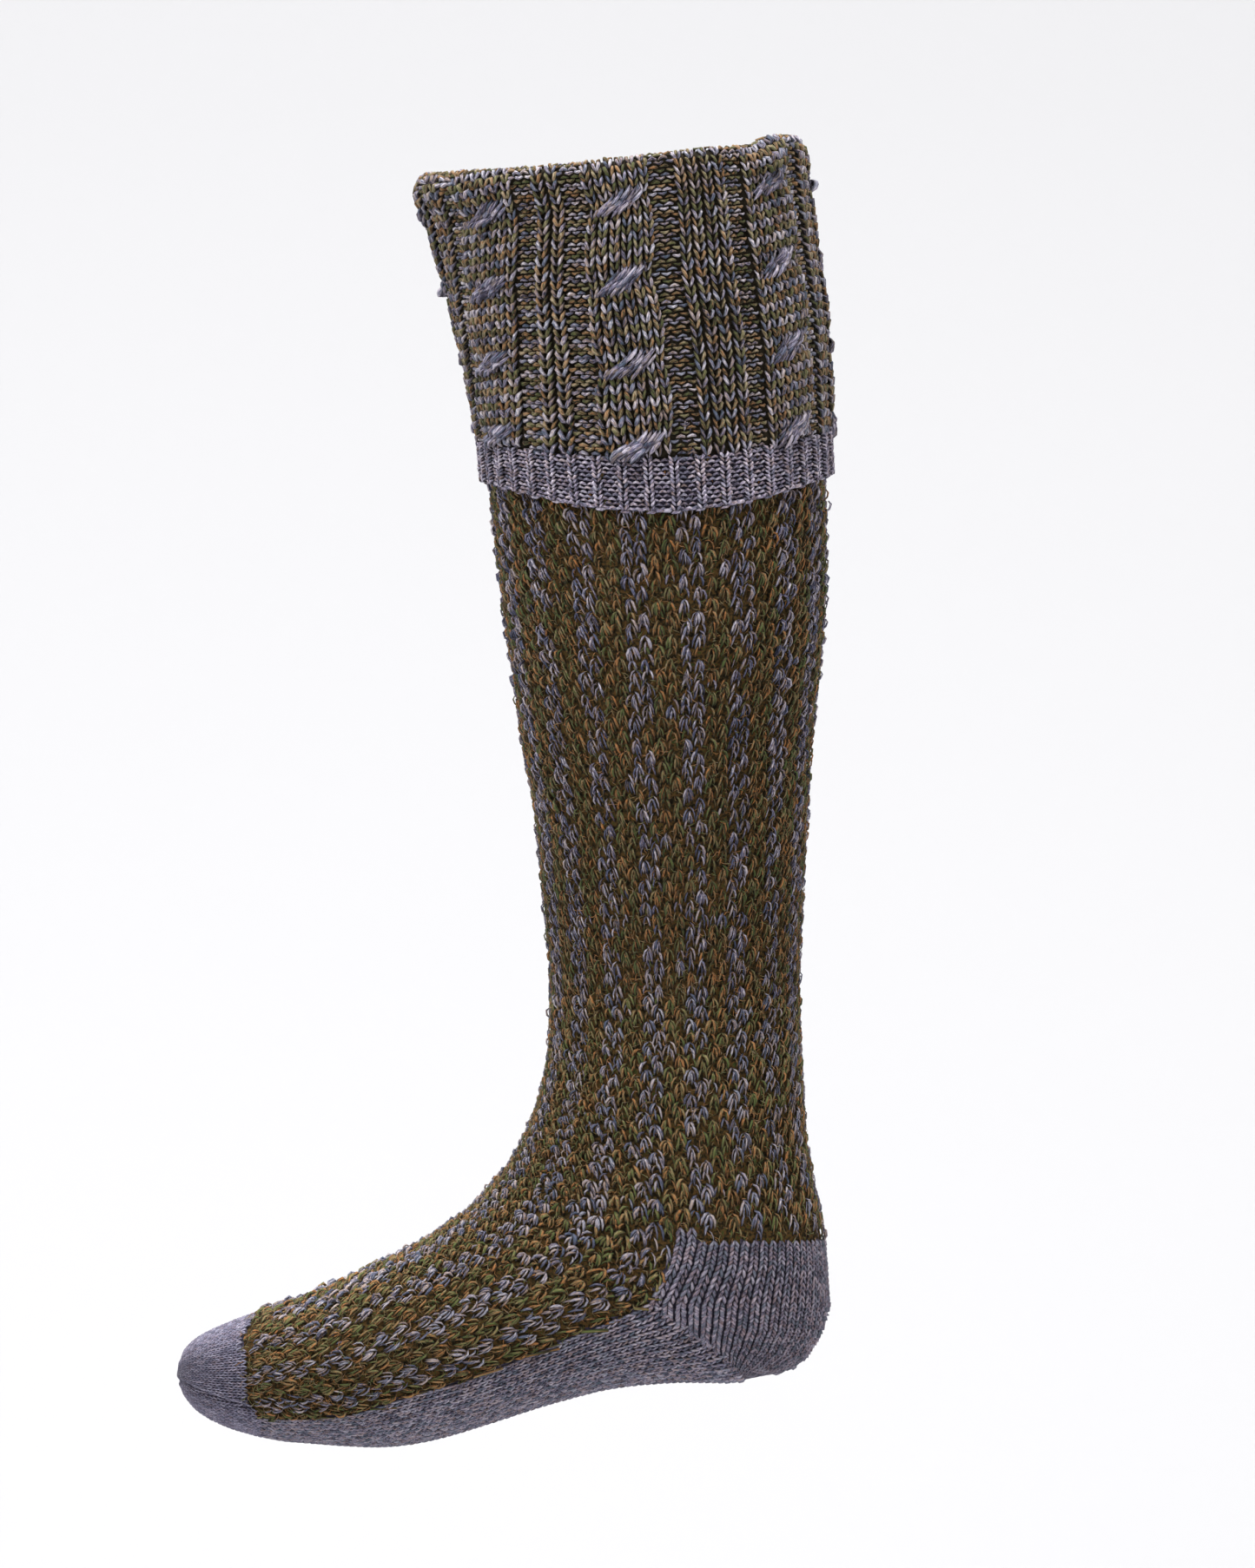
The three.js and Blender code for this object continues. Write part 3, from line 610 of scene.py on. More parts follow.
# %% The ground behind the stitches
def ground_wool(name, stops):
    """The dim fabric behind the stitches: their own yarn in the shade, seen between them."""
    material = bpy.data.materials.new(name)
    material.use_nodes = True
    tree = material.node_tree
    shader = tree.nodes["Principled BSDF"]
    shader.inputs["Roughness"].default_value = 0.95
    shader.inputs["Specular IOR Level"].default_value = 0.1
    place = node(tree, "ShaderNodeTexCoord").outputs["Object"]
    fine = node(tree, "ShaderNodeTexNoise", {"Vector": place, "Scale": 700.0, "Detail": 4.0})
    colour = ramp(tree, fine.outputs["Fac"], stops)
    bump = node(tree, "ShaderNodeBump", {"Height": fine.outputs["Fac"], "Strength": 0.8, "Distance": 0.0006})
    tree.links.new(colour, shader.inputs["Base Color"])
    tree.links.new(bump.outputs["Normal"], shader.inputs["Normal"])
    return material


# Painted shade: the grounds are the yarns' colours made dark for the shade between the stitches; the cuff's
# and the border's are darker still for their deep gaps.
olive_shaded_ground = ground_wool("olive_shaded_ground", [
    (0.35, (0.008, 0.006, 0.003)), (0.48, (0.033, 0.024, 0.010)), (0.58, (0.090, 0.045, 0.015)),
    (0.66, (0.036, 0.046, 0.013))])
shaded_ground = ground_wool("shaded_ground", [(0.35, (0.008, 0.006, 0.004)), (0.7, (0.030, 0.024, 0.015))])
shaded_blue_ground = ground_wool("shaded_blue_ground", [(0.35, (0.014, 0.012, 0.020)),
                                                        (0.7, (0.060, 0.052, 0.080))])
blue_shaded_ground = ground_wool("blue_shaded_ground", [(0.35, (0.028, 0.025, 0.040)), (0.7, (0.085, 0.076, 0.115))])

# %% [markdown]
# ## Ground fabric
# Behind the stitches lies a thin closed shell in the same form, one for each piece. It fills
# the gaps between the lengths of yarn, and it is the fabric's inner side, seen down the mouth.
# Its dark colours are painted shade: the shade that lies between the stitches.

# %% Ground of the leg, heel, sole and toe
SUNK = 0.0010  # how deep the ground lies under the tube's surface
MOUTH_DROP = 0.0046  # how far below the mouth's centre the leg's ground begins


def ground_grid(place_out, place_in, capped=False):
    """Quads over a grid of points outside and inside, joined at the two open ends. A capped
    shell is closed across its last ring instead."""
    n, m = place_out.shape[:2]
    corners = np.vstack([place_out.reshape(-1, 3), place_in.reshape(-1, 3)])
    i, j = np.meshgrid(np.arange(n - 1), np.arange(m), indexing="ij")
    k = (j + 1) % m
    outer = np.stack([i * m + j, (i + 1) * m + j, (i + 1) * m + k, i * m + k], axis=-1).reshape(-1, 4)
    inner = outer[:, ::-1] + n * m
    j = np.arange(m)
    k = (j + 1) % m
    top = np.stack([j, k, k + n * m, j + n * m], axis=-1)
    last = (n - 1) * m
    if capped:
        j = np.arange(m // 2 - 1)
        cap = last + np.stack([j, m - 1 - j, m - 2 - j, j + 1], axis=-1)
        return corners, np.vstack([outer, inner, top, cap, cap[:, ::-1] + n * m])
    end = np.stack([last + k, last + j, last + j + n * m, last + k + n * m], axis=-1)
    return corners, np.vstack([outer, inner, top, end])


MOUTH_AT = np.interp(MOUTH_DROP, centre_length, stations)
ground_at = np.concatenate([np.linspace(MOUTH_AT, 13, 90), np.linspace(13, LAST, 150)[1:],
                            LAST + np.linspace(0, 0.99, 10)[1:]])
ground_round = np.linspace(0, 2 * math.pi, 100, endpoint=False)
at_grid, round_grid = np.meshgrid(ground_at, ground_round, indexing="ij")
shell = tube(at_grid, round_grid)
shell_normal = tube_normal(at_grid, round_grid)
corners, faces = ground_grid(shell - SUNK * shell_normal, shell - KNIT * shell_normal, capped=True)
middles = corners[faces].mean(axis=1)
owner = np.zeros(len(faces), dtype=int)
owner[middles[:, 2] < INSTEP_TOP * SOCK_HEIGHT] = 1
for number, outline in enumerate([heel_outline, sole_outline, toe_outline], start=2):
    owner[inside(middles, outline)] = number
for number, (name, material, slot) in enumerate([
        ("leg", olive_shaded_ground, "flecked_knit"), ("instep", olive_shaded_ground, "flecked_knit"),
        ("heel", blue_shaded_ground, "blue_knit"),
        ("sole", blue_shaded_ground, "blue_knit"), ("toe", blue_shaded_ground, "blue_knit")]):
    own = faces[owner == number]
    used, renumbered = np.unique(own, return_inverse=True)
    piece = make_object(name + "_ground", corners[used], renumbered.reshape(-1, 4))
    finish_piece(piece, material, name)

# %% [markdown]
# ## Leg and instep
# The pattern repeats over four wales, two blue and two olive. In each wale one large stitch,
# like a hood of three nested arches, covers more than half of the repeat, and a small stitch
# peeps out below it, often in the other yarn. Wales next to each other are half a repeat
# apart. The leg is knitted from the top down, so its stitches stand as arches, not as Vs. A
# texture could only paint this pattern: real lengths of yarn also shade one another, and they
# make the small bumps along the sock's outline.

# %% Stitches of the leg
HOOD_OUTER = [(0.02, -0.06, -0.04, 0.06), (0.24, 0.05, 0.17, 0.10), (0.38, 0.28, 0.16, 0.105),
              (0.43, 0.58, -0.14, 0.06)]
HOOD_MIDDLE = [(0.02, 0.02, 0.10, 0.05), (0.15, 0.14, 0.24, 0.09), (0.25, 0.38, 0.20, 0.095),
               (0.29, 0.68, -0.14, 0.05)]
HOOD_INNER = [(0.00, 0.12, 0.14, 0.05), (0.05, 0.26, 0.25, 0.085), (0.09, 0.46, 0.18, 0.085),
              (0.11, 0.72, -0.14, 0.05)]
SMALL_ARCH = [(0.03, 0.54, 0.00, 0.05), (0.16, 0.64, 0.10, 0.09), (0.25, 0.82, 0.09, 0.095),
              (0.28, 1.04, -0.14, 0.05)]
# The instep's stitches are wider and rounder than the leg's: shares across, along, out and thick.
ARCH_SIZE = {"leg": (1.05, 0.88, 1.0, 0.95), "instep": (1.3, 0.80, 1.1, 1.15)}
leg_repeats = int((np.interp(LAST_ON_FOOT, stations, leg_length) - LEG_START) / REPEAT)
wales, courses = np.meshgrid(np.arange(LEG_WALES), np.arange(-1, leg_repeats + 1), indexing="ij")
wales = wales.ravel() + 0.5
courses = courses.ravel() + 0.5 * (wales // 1 % 2)
spots = leg_place(wales, courses + 0.35)
taken = np.zeros(len(wales), dtype=bool)
for outline in (heel_outline, sole_outline, toe_outline):
    taken |= inside(spots, outline) | inside(leg_place(wales, courses + 0.6), outline)
past_edge = np.abs((wales + LEG_WALES / 2) % LEG_WALES - LEG_WALES / 2) > LEG_WALES / 4
taken |= past_edge & (spots[:, 2] < HEEL_TOP[1][1] * SOCK_HEIGHT)
wales, courses = wales[~taken], courses[~taken]
column = (wales // 1 + 1) % 4  # 0 and 1 are the blue wales, 2 and 3 the olive ones
lucky = rng.random(len(wales))
hood_is_blue = np.where(column < 2, lucky < 0.95, lucky < 0.04)
lucky = rng.random(len(wales))
on_leg = spots[~taken][:, 2] > INSTEP_TOP * SOCK_HEIGHT
small_is_blue = np.where(column < 2, lucky < np.where(on_leg, 0.78, 0.50), lucky < 0.10)
leg_wools = {"leg": {"blue": leg_blue_wool, "olive": leg_olive_wool},
             "instep": {"blue": instep_lit_blue_wool, "olive": instep_lit_olive_wool}}
for part, here in (("leg", on_leg), ("instep", ~on_leg)):
    lengths = {"blue": [], "olive": []}
    for shape, blue_here in ((HOOD_OUTER, hood_is_blue), (HOOD_MIDDLE, hood_is_blue),
                             (HOOD_INNER, hood_is_blue), (SMALL_ARCH, small_is_blue)):
        for side in (-1, 1):
            for yarn, own in (("blue", blue_here), ("olive", ~blue_here)):
                there = here & own & (rng.random(len(wales)) < 0.95)
                lengths[yarn].append(lay(leg_place, wales[there], courses[there],
                                         np.array(shape) * ARCH_SIZE[part], mirror=side, loose=0.09))
    for yarn, material in leg_wools[part].items():
        finish_piece(yarn_mesh("%s_%s_stitches" % (part, yarn), lengths[yarn], sides=2), material)

# %% [markdown]
# ## Heel, sole and toe
# These are plain knitting in the blue yarn: every stitch is one arch. The heel's wales hang
# down and curve under it, the sole's run along the foot, and the two meet at a slant. The toe
# is knitted finer and is worn smooth, so its yarn is thinner and stands out less. One helper
# lays all three, and keeps the stitches whose centre lies in the piece's outline.

# %% Stitches of the heel, sole and toe
FULL = [(0.04, -0.35, -0.08, 0.10), (0.16, 0.12, 0.13, 0.18), (0.29, 0.62, 0.16, 0.19),
        (0.36, 1.15, -0.06, 0.10)]
FINE = [(0.05, -0.30, -0.08, 0.08), (0.18, 0.12, 0.09, 0.17), (0.31, 0.62, 0.09, 0.18),
        (0.37, 1.18, -0.08, 0.10)]


def plain_knit(name, place, wale_count, course_count, outline, material, shape=FULL, first=0, there=None,
               centre=0.5):
    """Two lengths of yarn for each stitch of a plain piece whose centre, this share of a course
    on, lies in the outline."""
    w, c = np.meshgrid(np.arange(wale_count), np.arange(first, course_count), indexing="ij")
    w, c = w.ravel().astype(float), c.ravel().astype(float)
    keep = inside(place(w + 0.5, c + centre), outline)
    if there is not None:
        keep &= there(w + 0.5, c + 0.5)
    w, c = w[keep], c[keep]
    sides = [lay(place, w + 0.5, c, shape, mirror=side, loose=0.02) for side in (-1, 1)]
    finish_piece(yarn_mesh(name, sides, sides=2), material)


def heel_wale_there(wale, course):
    ended = np.interp(course / HEEL_ROWS, HEEL_COURSES[:, 0], HEEL_COURSES[:, 5])
    return np.sin((1 - np.abs(wale / (HEEL_WALES / 2) - 1)) * math.pi / 2) >= ended


plain_knit("heel_stitches", heel_place, HEEL_WALES, HEEL_ROWS, heel_outline, heel_wool, first=-3,
           there=heel_wale_there)
plain_knit("sole_stitches", sole_place, SOLE_WALES, sole_courses[-1], sole_outline, sole_wool, first=-15,
           centre=1.0)
plain_knit("toe_stitches", toe_place, TOE_WALES, toe_rows, toe_outline, toe_wool, shape=FINE)

# %% [markdown]
# ## The turned-over cuff
# The cuff hangs outside the leg, so its place function adds the air, its own thickness and
# its relief to the tube. Above the fold the courses go on over a rounded crest and down
# inside the mouth. The ridge of the fold isn't even: it dips at the sides and bunches up at
# the back. Seven cables stand round the cuff, each six wales wide.

# %% Sizes of the cuff
CUFF_EASE, CUFF_KNIT, CABLE_RISE, RIB_RISE = 0.0008, 0.0026, 0.0022, 0.0011
FOLD_FLARE, CREASE_DEPTH = 0.0024, 0.0016
CUFF_DROP, CUFF_DIP, CUFF_TILT, HEM_DEPTH, HEM_DIP = 0.114, 0.009, 0.0045, 0.0165, 0.0052
FOLD_DIP = 0.0035  # how much lower the fold lies at the sides
FOLD_REACH, RIDGE_REACH, FLARE_REACH = 0.030, 0.022, 0.022  # how far down each of these fades out
INSIDE_FOLD = 0.0044  # how far below the fold the cuff's inner side begins
# Behind, the ridge of the fold sags, then bunches up over the last cable: degrees from the
# front, and how much lower it lies.
RIDGE_SAG = np.array([(0, 0.0), (105, -0.0004), (124, 0.0004), (137, 0.0020), (142, 0.0021), (148, 0.0004),
                      (156, 0.0), (166, 0.0008), (180, 0.0024)])
CABLE_PITCH, FIRST_CROSSING = 0.0309, 0.0170
ROWS_A_CABLE = 10
CUFF_ROW = CABLE_PITCH / ROWS_A_CABLE
CUFF_WALES = 87.4
WIDE_GAP = 15.4  # wales from the middle cable back to the next one; elsewhere it is 12
up = unit(centre_line[0] - centre_line[20])
print("rows of the cuff from fold to border: %.0f" % (CUFF_DROP / CUFF_ROW))


# %% Wales and courses of the cuff
def over_leg(angle, down, out):
    """A point this far down from the mouth and this far out from the tube."""
    at = np.interp(np.maximum(down, 0), centre_length, stations)
    point = tube(at, angle) + tube_normal(np.maximum(at, 0.05), angle) * np.asarray(out)[..., None]
    return point + up * np.maximum(-np.asarray(down), 0)[..., None]


def cuff_angle(wale, down):
    """Angle of a wale. The cables in front drift forward as they come down."""
    first = np.radians(np.interp(down, [0.018, 0.047, 0.081, 0.112], [47, 38.5, 32, 27.5]))
    middle = np.radians(np.interp(down, [0.018, 0.047], [90.5, 86]))
    third = math.radians(141)
    w = (wale + 12) % CUFF_WALES - 12
    return np.select([w < 0, w < WIDE_GAP],
                     [middle + (middle - first) * w / 12, middle + (third - middle) * w / WIDE_GAP],
                     third + (first + 2 * math.pi - third) * (w - WIDE_GAP) / (CUFF_WALES - 12 - WIDE_GAP))


def cuff_length(angle):
    """How far down the cuff reaches at an angle."""
    return CUFF_DROP + CUFF_DIP * np.sin(angle) ** 2 + CUFF_TILT * (1 - np.cos(angle)) / 2


def crease_at(wale, down):
    """How deep the one long crease lies, two ribs behind the middle cable."""
    depth = np.interp(down / CUFF_DROP, [0.1, 0.35, 0.6, 0.9, 1], [0, 0.6, 1, 0.8, 0])
    away = ((wale + 12) % CUFF_WALES - 12 - 7.9) / 0.5
    return np.exp(-away ** 2) * depth * CREASE_DEPTH


def cuff_place_raised(wale, course, rise):
    """A place on the cuff: rows below the fold, on the crest of the fold or inside the mouth."""
    down = course * CUFF_ROW
    angle = cuff_angle(wale, down)
    flare = FOLD_FLARE * (0.6 + 0.4 * np.cos(angle))
    body = CUFF_EASE + CUFF_KNIT - 0.0006
    radius = (body + flare + KNIT) / 2
    turn = np.clip((radius - down) / radius, 0, math.pi)
    inward = np.maximum((radius - down) - math.pi * radius, 0)
    ease = np.clip(down / FLARE_REACH, 0, 1)
    ease = ease * ease * (3 - 2 * ease)
    straight = body + flare * (1 - ease) + rise * np.clip(down / 0.009, 0, 1) - crease_at(wale, down)
    curved = -KNIT + radius * (1 + np.cos(turn))
    out = np.where(down > radius, straight, curved)
    depth = np.where(down > radius, down * cuff_length(angle) / CUFF_DROP,
                     radius * (1 - np.sin(turn)) + inward)
    dip = FOLD_DIP * np.sin(angle) ** 2 * np.clip(1 - down / FOLD_REACH, 0, 1)
    from_front = np.degrees(np.abs((angle + math.pi) % (2 * math.pi) - math.pi))
    sag = np.interp(from_front, RIDGE_SAG[:, 0], RIDGE_SAG[:, 1]) * np.clip(1 - down / RIDGE_REACH, 0, 1)
    return over_leg(angle, depth + dip + sag, out)


# %% Ribs, furrows and cables
def purl_place(wale, course):
    return cuff_place_raised(wale, course, -0.0007)


def rib_place(wale, course):
    return cuff_place_raised(wale, course, RIB_RISE)


cable_middles = np.array([-12, 0] + [WIDE_GAP + 12 * k for k in range(5)])


def cable_place(wale, course):
    """The rounded top of the cables, lower and drawn in where the strands cross."""
    local = (wale[..., None] - cable_middles + CUFF_WALES / 2) % CUFF_WALES - CUFF_WALES / 2
    local = np.take_along_axis(local, np.argmin(np.abs(local), axis=-1)[..., None], axis=-1)[..., 0]
    turn = (course * CUFF_ROW - FIRST_CROSSING) / CABLE_PITCH
    near = np.exp(-((turn - np.round(turn)) / 0.17) ** 2)
    rise = 1.3 * CABLE_RISE * np.sqrt(np.clip(1 - (local / 3.6) ** 2, 0.05, 1)) * (1 - 0.6 * near)
    lean = 0.5 * np.clip(local / 3, -1, 1)  # the rows rise towards the back across a cable
    return cuff_place_raised(wale - 0.12 * local * near, course - lean, rise)


print("cables round the cuff:", len(cable_middles))

# %% [markdown]
# Every second row of the cuff is knitted in the blue yarn, the others in the olive one. The
# cables are plain knit, and every tenth row three of their wales cross over the other three.
# Between the cables lie purl wales, where the yarn shows as short level arcs, and two raised
# knit wales. The gap behind the middle cable has four of these, with a deep crease between
# them.

# %% Lengths of yarn and wales of the cuff
KNIT_V = [(0.05, 0.46, -0.14, 0.07), (0.16, 0.10, 0.20, 0.16), (0.28, -0.42, 0.24, 0.17),
          (0.37, -1.00, -0.14, 0.07)]
PURL_ARC = [(-0.50, 0.19, -0.26, 0.03), (-0.27, 0.03, 0.10, 0.13), (0.0, -0.08, 0.21, 0.165),
            (0.27, 0.03, 0.10, 0.13), (0.50, 0.19, -0.26, 0.03)]
CROSSING = [(-0.62, 0.80, 0.02, 0.05), (-0.36, 0.44, 0.40, 0.15), (0.0, 0.0, 0.54, 0.18),
            (0.36, -0.44, 0.42, 0.16), (0.66, -0.84, 0.04, 0.05)]
NARROW_GAP = [(3.42, 0.83, "purl"), (4.25, 0.83, "purl"), (5.33, 1.3, "rib"), (6.67, 1.3, "rib"),
              (7.75, 0.83, "purl"), (8.58, 0.83, "purl")]
CREASED_GAP = [(3.55, 1.1, "purl"), (4.65, 1.1, "purl"), (5.9, 1.25, "rib"), (7.2, 1.25, "rib"),
               (8.6, 1.25, "rib"), (9.9, 1.25, "rib"), (11.0, 0.85, "purl"), (11.85, 0.85, "purl")]
gaps = [(middle + wale, width, kind) for middle in cable_middles
        for wale, width, kind in (CREASED_GAP if middle == 0 else NARROW_GAP)]
cuff_rows = np.arange(-8, int(CUFF_DROP / CUFF_ROW) + 1)
print("wales between the cables:", len(gaps), "rows:", len(cuff_rows))


# %% Stitches of the cuff
def whole_rows(wales_here, rows_here):
    w, c = np.meshgrid(wales_here, rows_here + 0.5, indexing="ij")
    return w.ravel(), c.ravel()


cuff_lengths = {"blue": [], "olive": []}
for yarn, first in (("blue", 0), ("olive", 1)):
    own_rows = cuff_rows[cuff_rows % 2 == first]
    add = cuff_lengths[yarn].append
    w, c = whole_rows((cable_middles[:, None] + np.arange(6) - 2.5).ravel(), own_rows)
    for side in (-1, 1):
        add(lay(cable_place, w, c, KNIT_V, mirror=side, loose=0.04))
    for width in sorted({width for _, width, _ in gaps}):
        ribs = np.array([wale for wale, own, kind in gaps if own == width and kind == "rib"])
        purls = np.array([wale for wale, own, kind in gaps if own == width and kind == "purl"])
        if len(ribs):
            w, c = whole_rows(ribs, own_rows)
            for side in (-1, 1):
                add(lay(rib_place, w, c, KNIT_V, mirror=side, stretch=width, loose=0.04))
        if len(purls):
            w, c = whole_rows(purls, own_rows)
            add(lay(purl_place, w, c, PURL_ARC, stretch=width, loose=0.04))
            between = np.unique(np.round(np.concatenate([purls - width / 2, purls + width / 2]), 3))
            w, c = whole_rows(between, own_rows)
            add(lay(purl_place, w, c + 0.5, PURL_ARC, flow=-1, stretch=width, loose=0.04))
print("sets of lengths in each yarn:", len(cuff_lengths["blue"]))

# %% [markdown]
# At a crossing the stitches are pulled long and slanting, and they heap up into a bundle that
# is pointed at both ends. Four ranks of short strokes, the outer ones with fewer of them, give
# that shape, in a quieter mix of the blue yarn.

# %% Crossings of the cables
crossing_rows = (FIRST_CROSSING + CABLE_PITCH * np.arange(4)) / CUFF_ROW
crossings = []
for rank, strokes in ((-1.2, 5), (-0.4, 7), (0.4, 7), (1.2, 5)):
    for across in (np.arange(strokes) - (strokes - 1) / 2) * 0.44:
        w, c = np.meshgrid(cable_middles + across + 0.62 * rank, crossing_rows - 0.80 * rank + 0.12 * across)
        crossings.append(lay(cable_place, w.ravel(), c.ravel(), CROSSING, loose=0.09))
finish_piece(yarn_mesh("cuff_crossings", crossings, sides=3), crossing_wool)
for yarn, material in (("blue", blue_wool), ("olive", olive_wool)):
    finish_piece(yarn_mesh("cuff_%s_stitches" % yarn, cuff_lengths[yarn], sides=3), material)

# %% Ground of the cuff
# It follows the cables a little below their stitches, and goes over the fold with them.
cuff_round = np.linspace(0, CUFF_WALES, 240, endpoint=False)
cuff_course = np.concatenate([np.linspace(-7.4, 2, 24), np.linspace(2, CUFF_DROP / CUFF_ROW, 46)[1:]])
course_grid, wale_grid = np.meshgrid(cuff_course, cuff_round, indexing="ij")
local = (wale_grid[..., None] - cable_middles + CUFF_WALES / 2) % CUFF_WALES - CUFF_WALES / 2
local = np.abs(local).min(axis=-1)
lifted = CABLE_RISE * np.sqrt(np.clip(1 - (local / 3.2) ** 2, 0, 1)) * 0.6 - 0.0010
cuff_out = cuff_place_raised(wale_grid, course_grid, lifted)
flat = course_grid * CUFF_ROW
angle_grid = cuff_angle(wale_grid, flat)
cuff_in = over_leg(angle_grid, np.maximum(flat * cuff_length(angle_grid) / CUFF_DROP, INSIDE_FOLD),
                   np.where(flat > INSIDE_FOLD, CUFF_EASE, -KNIT + 0.0008))
corners, faces = ground_grid(cuff_out, cuff_in)
finish_piece(make_object("cuff_ground", corners, faces), shaded_ground, "cuff")

# %% [markdown]
# ## The rib border
# The border is knitted in the blue yarn, one knit wale and two purl wales in turn, 42 times
# round. The purl rows show as small arcs, each row half a wale beside the last, like scales.
# The lower edge is the sock's first row: a cord of small bumps, lower at the knit wales.

# %% Stitches of the rib border
HEM_KNIT, HEM_RIB_RISE, HEM_RIBS, HEM_ROWS = 0.0028, 0.0011, 42, 12


def hem_place_raised(rise):
    def place(wale, course):
        angle = wale / (3 * HEM_RIBS) * 2 * math.pi
        down = cuff_length(angle) + course / HEM_ROWS * (HEM_DEPTH + np.sin(angle) ** 2 * HEM_DIP)
        return over_leg(angle, down, np.full(angle.shape, CUFF_EASE + HEM_KNIT - 0.0006 + rise))
    return place


HEM_V = [(0.10, 0.42, -0.22, 0.06), (0.22, 0.04, 0.28, 0.18), (0.40, -0.42, 0.32, 0.19),
         (0.52, -0.96, -0.22, 0.06)]
HEM_ARC = [(-0.56, 0.52, -0.22, 0.04), (-0.29, 0.12, 0.08, 0.16), (0.0, -0.10, 0.19, 0.195),
           (0.29, 0.12, 0.08, 0.16), (0.56, 0.52, -0.22, 0.04)]
HEM_EDGE = [(-0.6, 0.2, -0.1, 0.12), (-0.25, 0.0, 0.15, 0.24), (0.25, 0.0, 0.15, 0.24),
            (0.6, -0.2, -0.1, 0.12)]
hem_lengths = []
w, c = whole_rows(np.arange(HEM_RIBS) * 3 + 0.5, np.arange(HEM_ROWS))
for side in (-1, 1):
    hem_lengths.append(lay(hem_place_raised(HEM_RIB_RISE), w, c, HEM_V, mirror=side, loose=0.04))
for first, wales_between in ((0, (1.0, 2.0)), (1, (0.6, 1.5, 2.4))):
    there = c // 1 % 2 == first
    for wale in wales_between:
        hem_lengths.append(lay(hem_place_raised(-0.0002), w[there] + wale, c[there], HEM_ARC, loose=0.03))
edge = np.arange(3 * HEM_RIBS) + 0.5
edge_row = HEM_ROWS + np.where(edge // 1 % 3 == 0, 0.25, -0.25)
hem_lengths.append(lay(hem_place_raised(-0.0004), edge, edge_row, HEM_EDGE, loose=0.06))
finish_piece(yarn_mesh("hem_stitches", hem_lengths, sides=3), hem_wool)

# %% Ground of the rib border
hem_course, hem_round = np.meshgrid(np.linspace(0.1, HEM_ROWS, 12),
                                    np.linspace(0, 3 * HEM_RIBS, 252, endpoint=False), indexing="ij")
hem_out = hem_place_raised(-0.0012)(hem_round, hem_course)
hem_in = hem_place_raised(0.0006 - HEM_KNIT)(hem_round, hem_course)
corners, faces = ground_grid(hem_out, hem_in)
finish_piece(make_object("hem_ground", corners, faces), shaded_blue_ground, "cuff_hem")

# %% [markdown]
# ## Loose fibres
# Wool is hairy. Fine fibres of every colour in the marl lie across the leg's stitches in all
# directions, and some stand out a little, which softens the pattern. A hair system would do it
# too, but short flat strips are lighter and keep their place in any copy of the sock.

# %% Where the fibres are rooted
fibre_wool = wool("loose_fibres", (0.09, 0.060, 0.022), (0.24, 0.150, 0.055), (0.48, 0.40, 0.30),
                  (0.55, 0.21, 0.05), (0.11, 0.17, 0.03), 0.95)
FIBRES = 23000
fibre_at = np.interp(rng.uniform(0.118, centre_length[-1], FIBRES), centre_length, stations)
fibre_angle = rng.uniform(0, 2 * math.pi, FIBRES)
root_point = tube(fibre_at, fibre_angle)
free = ~(inside(root_point, heel_outline) | inside(root_point, sole_outline)
         | inside(root_point, toe_outline))
root_point, fibre_at, fibre_angle = root_point[free], fibre_at[free], fibre_angle[free]
print("fibres on the pattern:", len(root_point), "of", FIBRES)

# %% Fibres over the leg and instep
away = tube_normal(fibre_at, fibre_angle)
level = unit(np.cross(away, [0.0, 0.0, 1.0]))
steep = np.cross(away, level)
heading = rng.normal(0, 1.0, len(away))
bend = rng.normal(0, 0.8, len(away))
reach = rng.uniform(0.0012, 0.0050, len(away))
lift_off = rng.uniform(0.0002, 0.0014, len(away))
points = []
for t, rise in ((0.0, 0.3), (0.5, 1.0), (1.0, 0.6)):
    swing = heading + bend * t
    direction = level * np.cos(swing)[:, None] + steep * np.sin(swing)[:, None]
    points.append(root_point + direction * (reach * t)[:, None] + away * (lift_off * rise)[:, None])
points = np.stack(points, axis=1)
normals = np.repeat(away[:, None], 3, axis=1)
thin = np.array([0.00006, 0.00015, 0.00005]) * rng.uniform(0.6, 1.4, (len(away), 1))
finish_piece(yarn_mesh("leg_fibres", [(points, normals, thin)], sides=2, spread=200), fibre_wool)
added = sum(len(p.vertices) - 2 for o in bpy.context.scene.objects if o.type == "MESH" and o.data.uv_layers
            and o.data.attributes.get("strand") for p in o.data.polygons)
print("triangles of yarn:", added)

# %% [markdown]
# ## Studio
# A pale sheet sweeps from the floor up behind the sock, so that no corner or edge shows. It is
# clear where it is looked at from behind.

# %% A pale sheet
SHEET_Z, SHEET_BACK, BEND = -0.64, 1.6, 0.8
profile = [(-4.0, SHEET_Z)]
for k in range(13):
    turn = math.radians(90 * k / 12)
    profile.append((SHEET_BACK - BEND + BEND * math.sin(turn), SHEET_Z + BEND - BEND * math.cos(turn)))
profile.append((SHEET_BACK, 3.0))
sheet_corners = np.array([(x, y, z) for y, z in profile for x in (-4.0, 4.0)])
sheet_faces = np.array([(2 * i, 2 * i + 1, 2 * i + 3, 2 * i + 2) for i in range(len(profile) - 1)])
sheet = make_object("studio_sheet", sheet_corners, sheet_faces)
pale = bpy.data.materials.new("pale_sheet")
pale.use_nodes = True
pale.node_tree.nodes["Principled BSDF"].inputs["Base Color"].default_value = (0.500, 0.502, 0.515, 1)
pale.node_tree.nodes["Principled BSDF"].inputs["Roughness"].default_value = 1.0
pale.node_tree.nodes["Principled BSDF"].inputs["Specular IOR Level"].default_value = 0.0
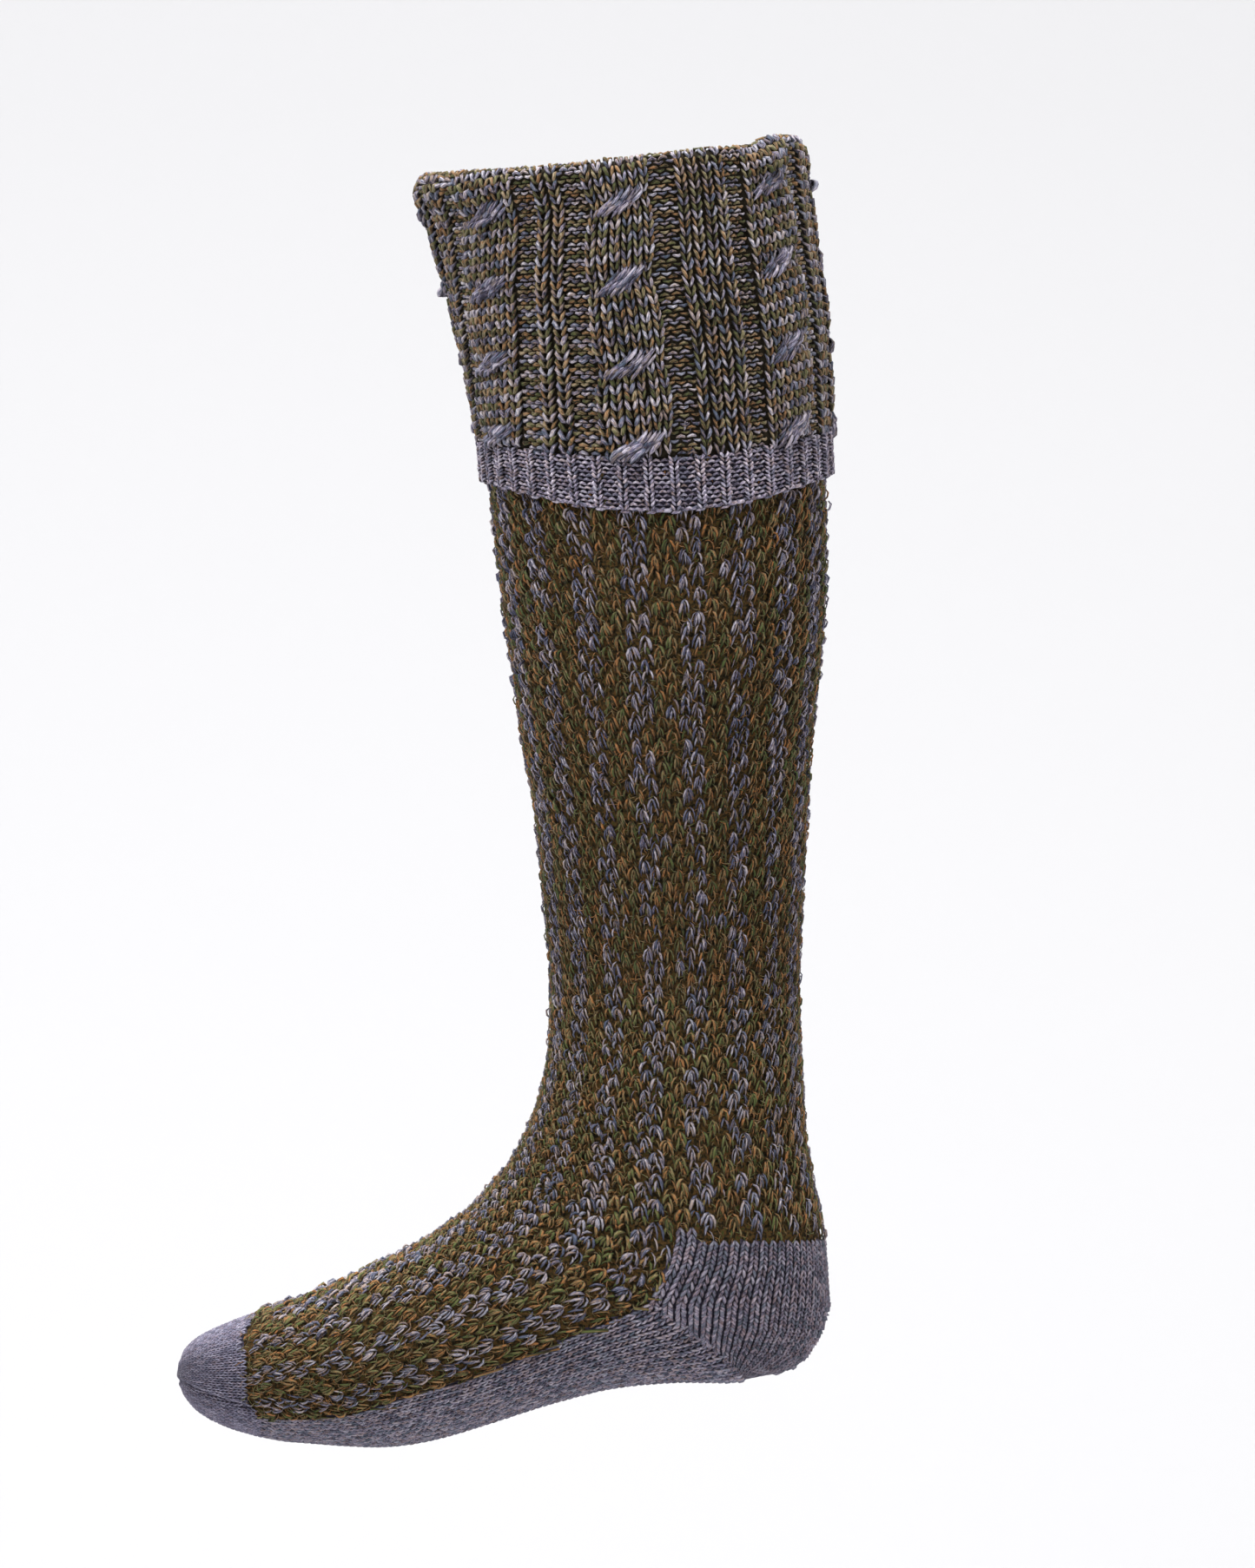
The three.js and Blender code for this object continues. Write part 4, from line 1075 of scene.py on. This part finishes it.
# Only what the camera sees is clear: light still falls on both faces of the sheet alike.
pale_tree = pale.node_tree
clear = node(pale_tree, "ShaderNodeBsdfTransparent").outputs[0]
from_behind = maths(pale_tree, "MULTIPLY", node(pale_tree, "ShaderNodeNewGeometry").outputs["Backfacing"],
                    node(pale_tree, "ShaderNodeLightPath").outputs["Is Camera Ray"])
mixed = node(pale_tree, "ShaderNodeMixShader",
             {0: from_behind, 1: pale_tree.nodes["Principled BSDF"].outputs[0], 2: clear})
pale_tree.links.new(mixed.outputs[0], pale_tree.nodes["Material Output"].inputs["Surface"])
sheet.data.materials.append(pale)
print("faces of the sheet:", len(sheet.data.polygons))

# %% [markdown]
# Wool looks best in soft light, because hard light would drown the small shadows between the
# stitches. A large lamp from the left front shapes the sock, a wide one from above lights
# the floor and the fold, a weak one fills in from the right, and a warm sky lifts the rest.

# %% Soft light
world = bpy.data.worlds.new("soft_room")
world.use_nodes = True
world.node_tree.nodes["Background"].inputs["Color"].default_value = (1.0, 0.975, 0.95, 1)
world.node_tree.nodes["Background"].inputs["Strength"].default_value = 0.75
bpy.context.scene.world = world
bpy.context.scene.view_settings.view_transform = "Standard"

MIDDLE = (0.0044, 0.0, -0.2549)


def soft_light(name, place, size, power):
    bpy.ops.object.light_add(type="AREA", location=place)
    lamp = bpy.context.object
    lamp.name = name
    lamp.data.shape = "DISK"
    lamp.data.size = size
    lamp.data.energy = power
    aim = np.array(MIDDLE) - np.array(place)
    lamp.rotation_euler = (math.acos(-aim[2] / np.linalg.norm(aim)), 0,
                           math.atan2(aim[1], aim[0]) - math.pi / 2)
    bpy.ops.object.select_all(action="DESELECT")


soft_light("key_light", (-1.1, -2.0, 1.9), 1.6, 54)
soft_light("fill_light", (2.0, -2.0, 0.3), 1.8, 11)
soft_light("top_light", (-0.2, -0.1, 2.2), 1.6, 95)

print("lamps:", sorted(lamp.name for lamp in bpy.data.lights))

# %% [markdown]
# The camera looks level at the near side from far away, so that the sock is drawn with hardly
# any perspective, as a long lens does it. The lens is worked out from the height that the
# picture holds at the sock.

# %% Camera
FRAME_HEIGHT, DISTANCE = 0.6411, 14.0
bpy.ops.object.camera_add(location=(MIDDLE[0], -DISTANCE, MIDDLE[2]), rotation=(math.pi / 2, 0, 0))
camera = bpy.context.object
camera.name = "photo_camera"
camera.data.sensor_fit = "VERTICAL"
camera.data.sensor_height = 24
camera.data.lens = 24 * DISTANCE / FRAME_HEIGHT
bpy.context.scene.camera = camera
bpy.ops.object.select_all(action="DESELECT")
print("lens: %.0f mm" % camera.data.lens)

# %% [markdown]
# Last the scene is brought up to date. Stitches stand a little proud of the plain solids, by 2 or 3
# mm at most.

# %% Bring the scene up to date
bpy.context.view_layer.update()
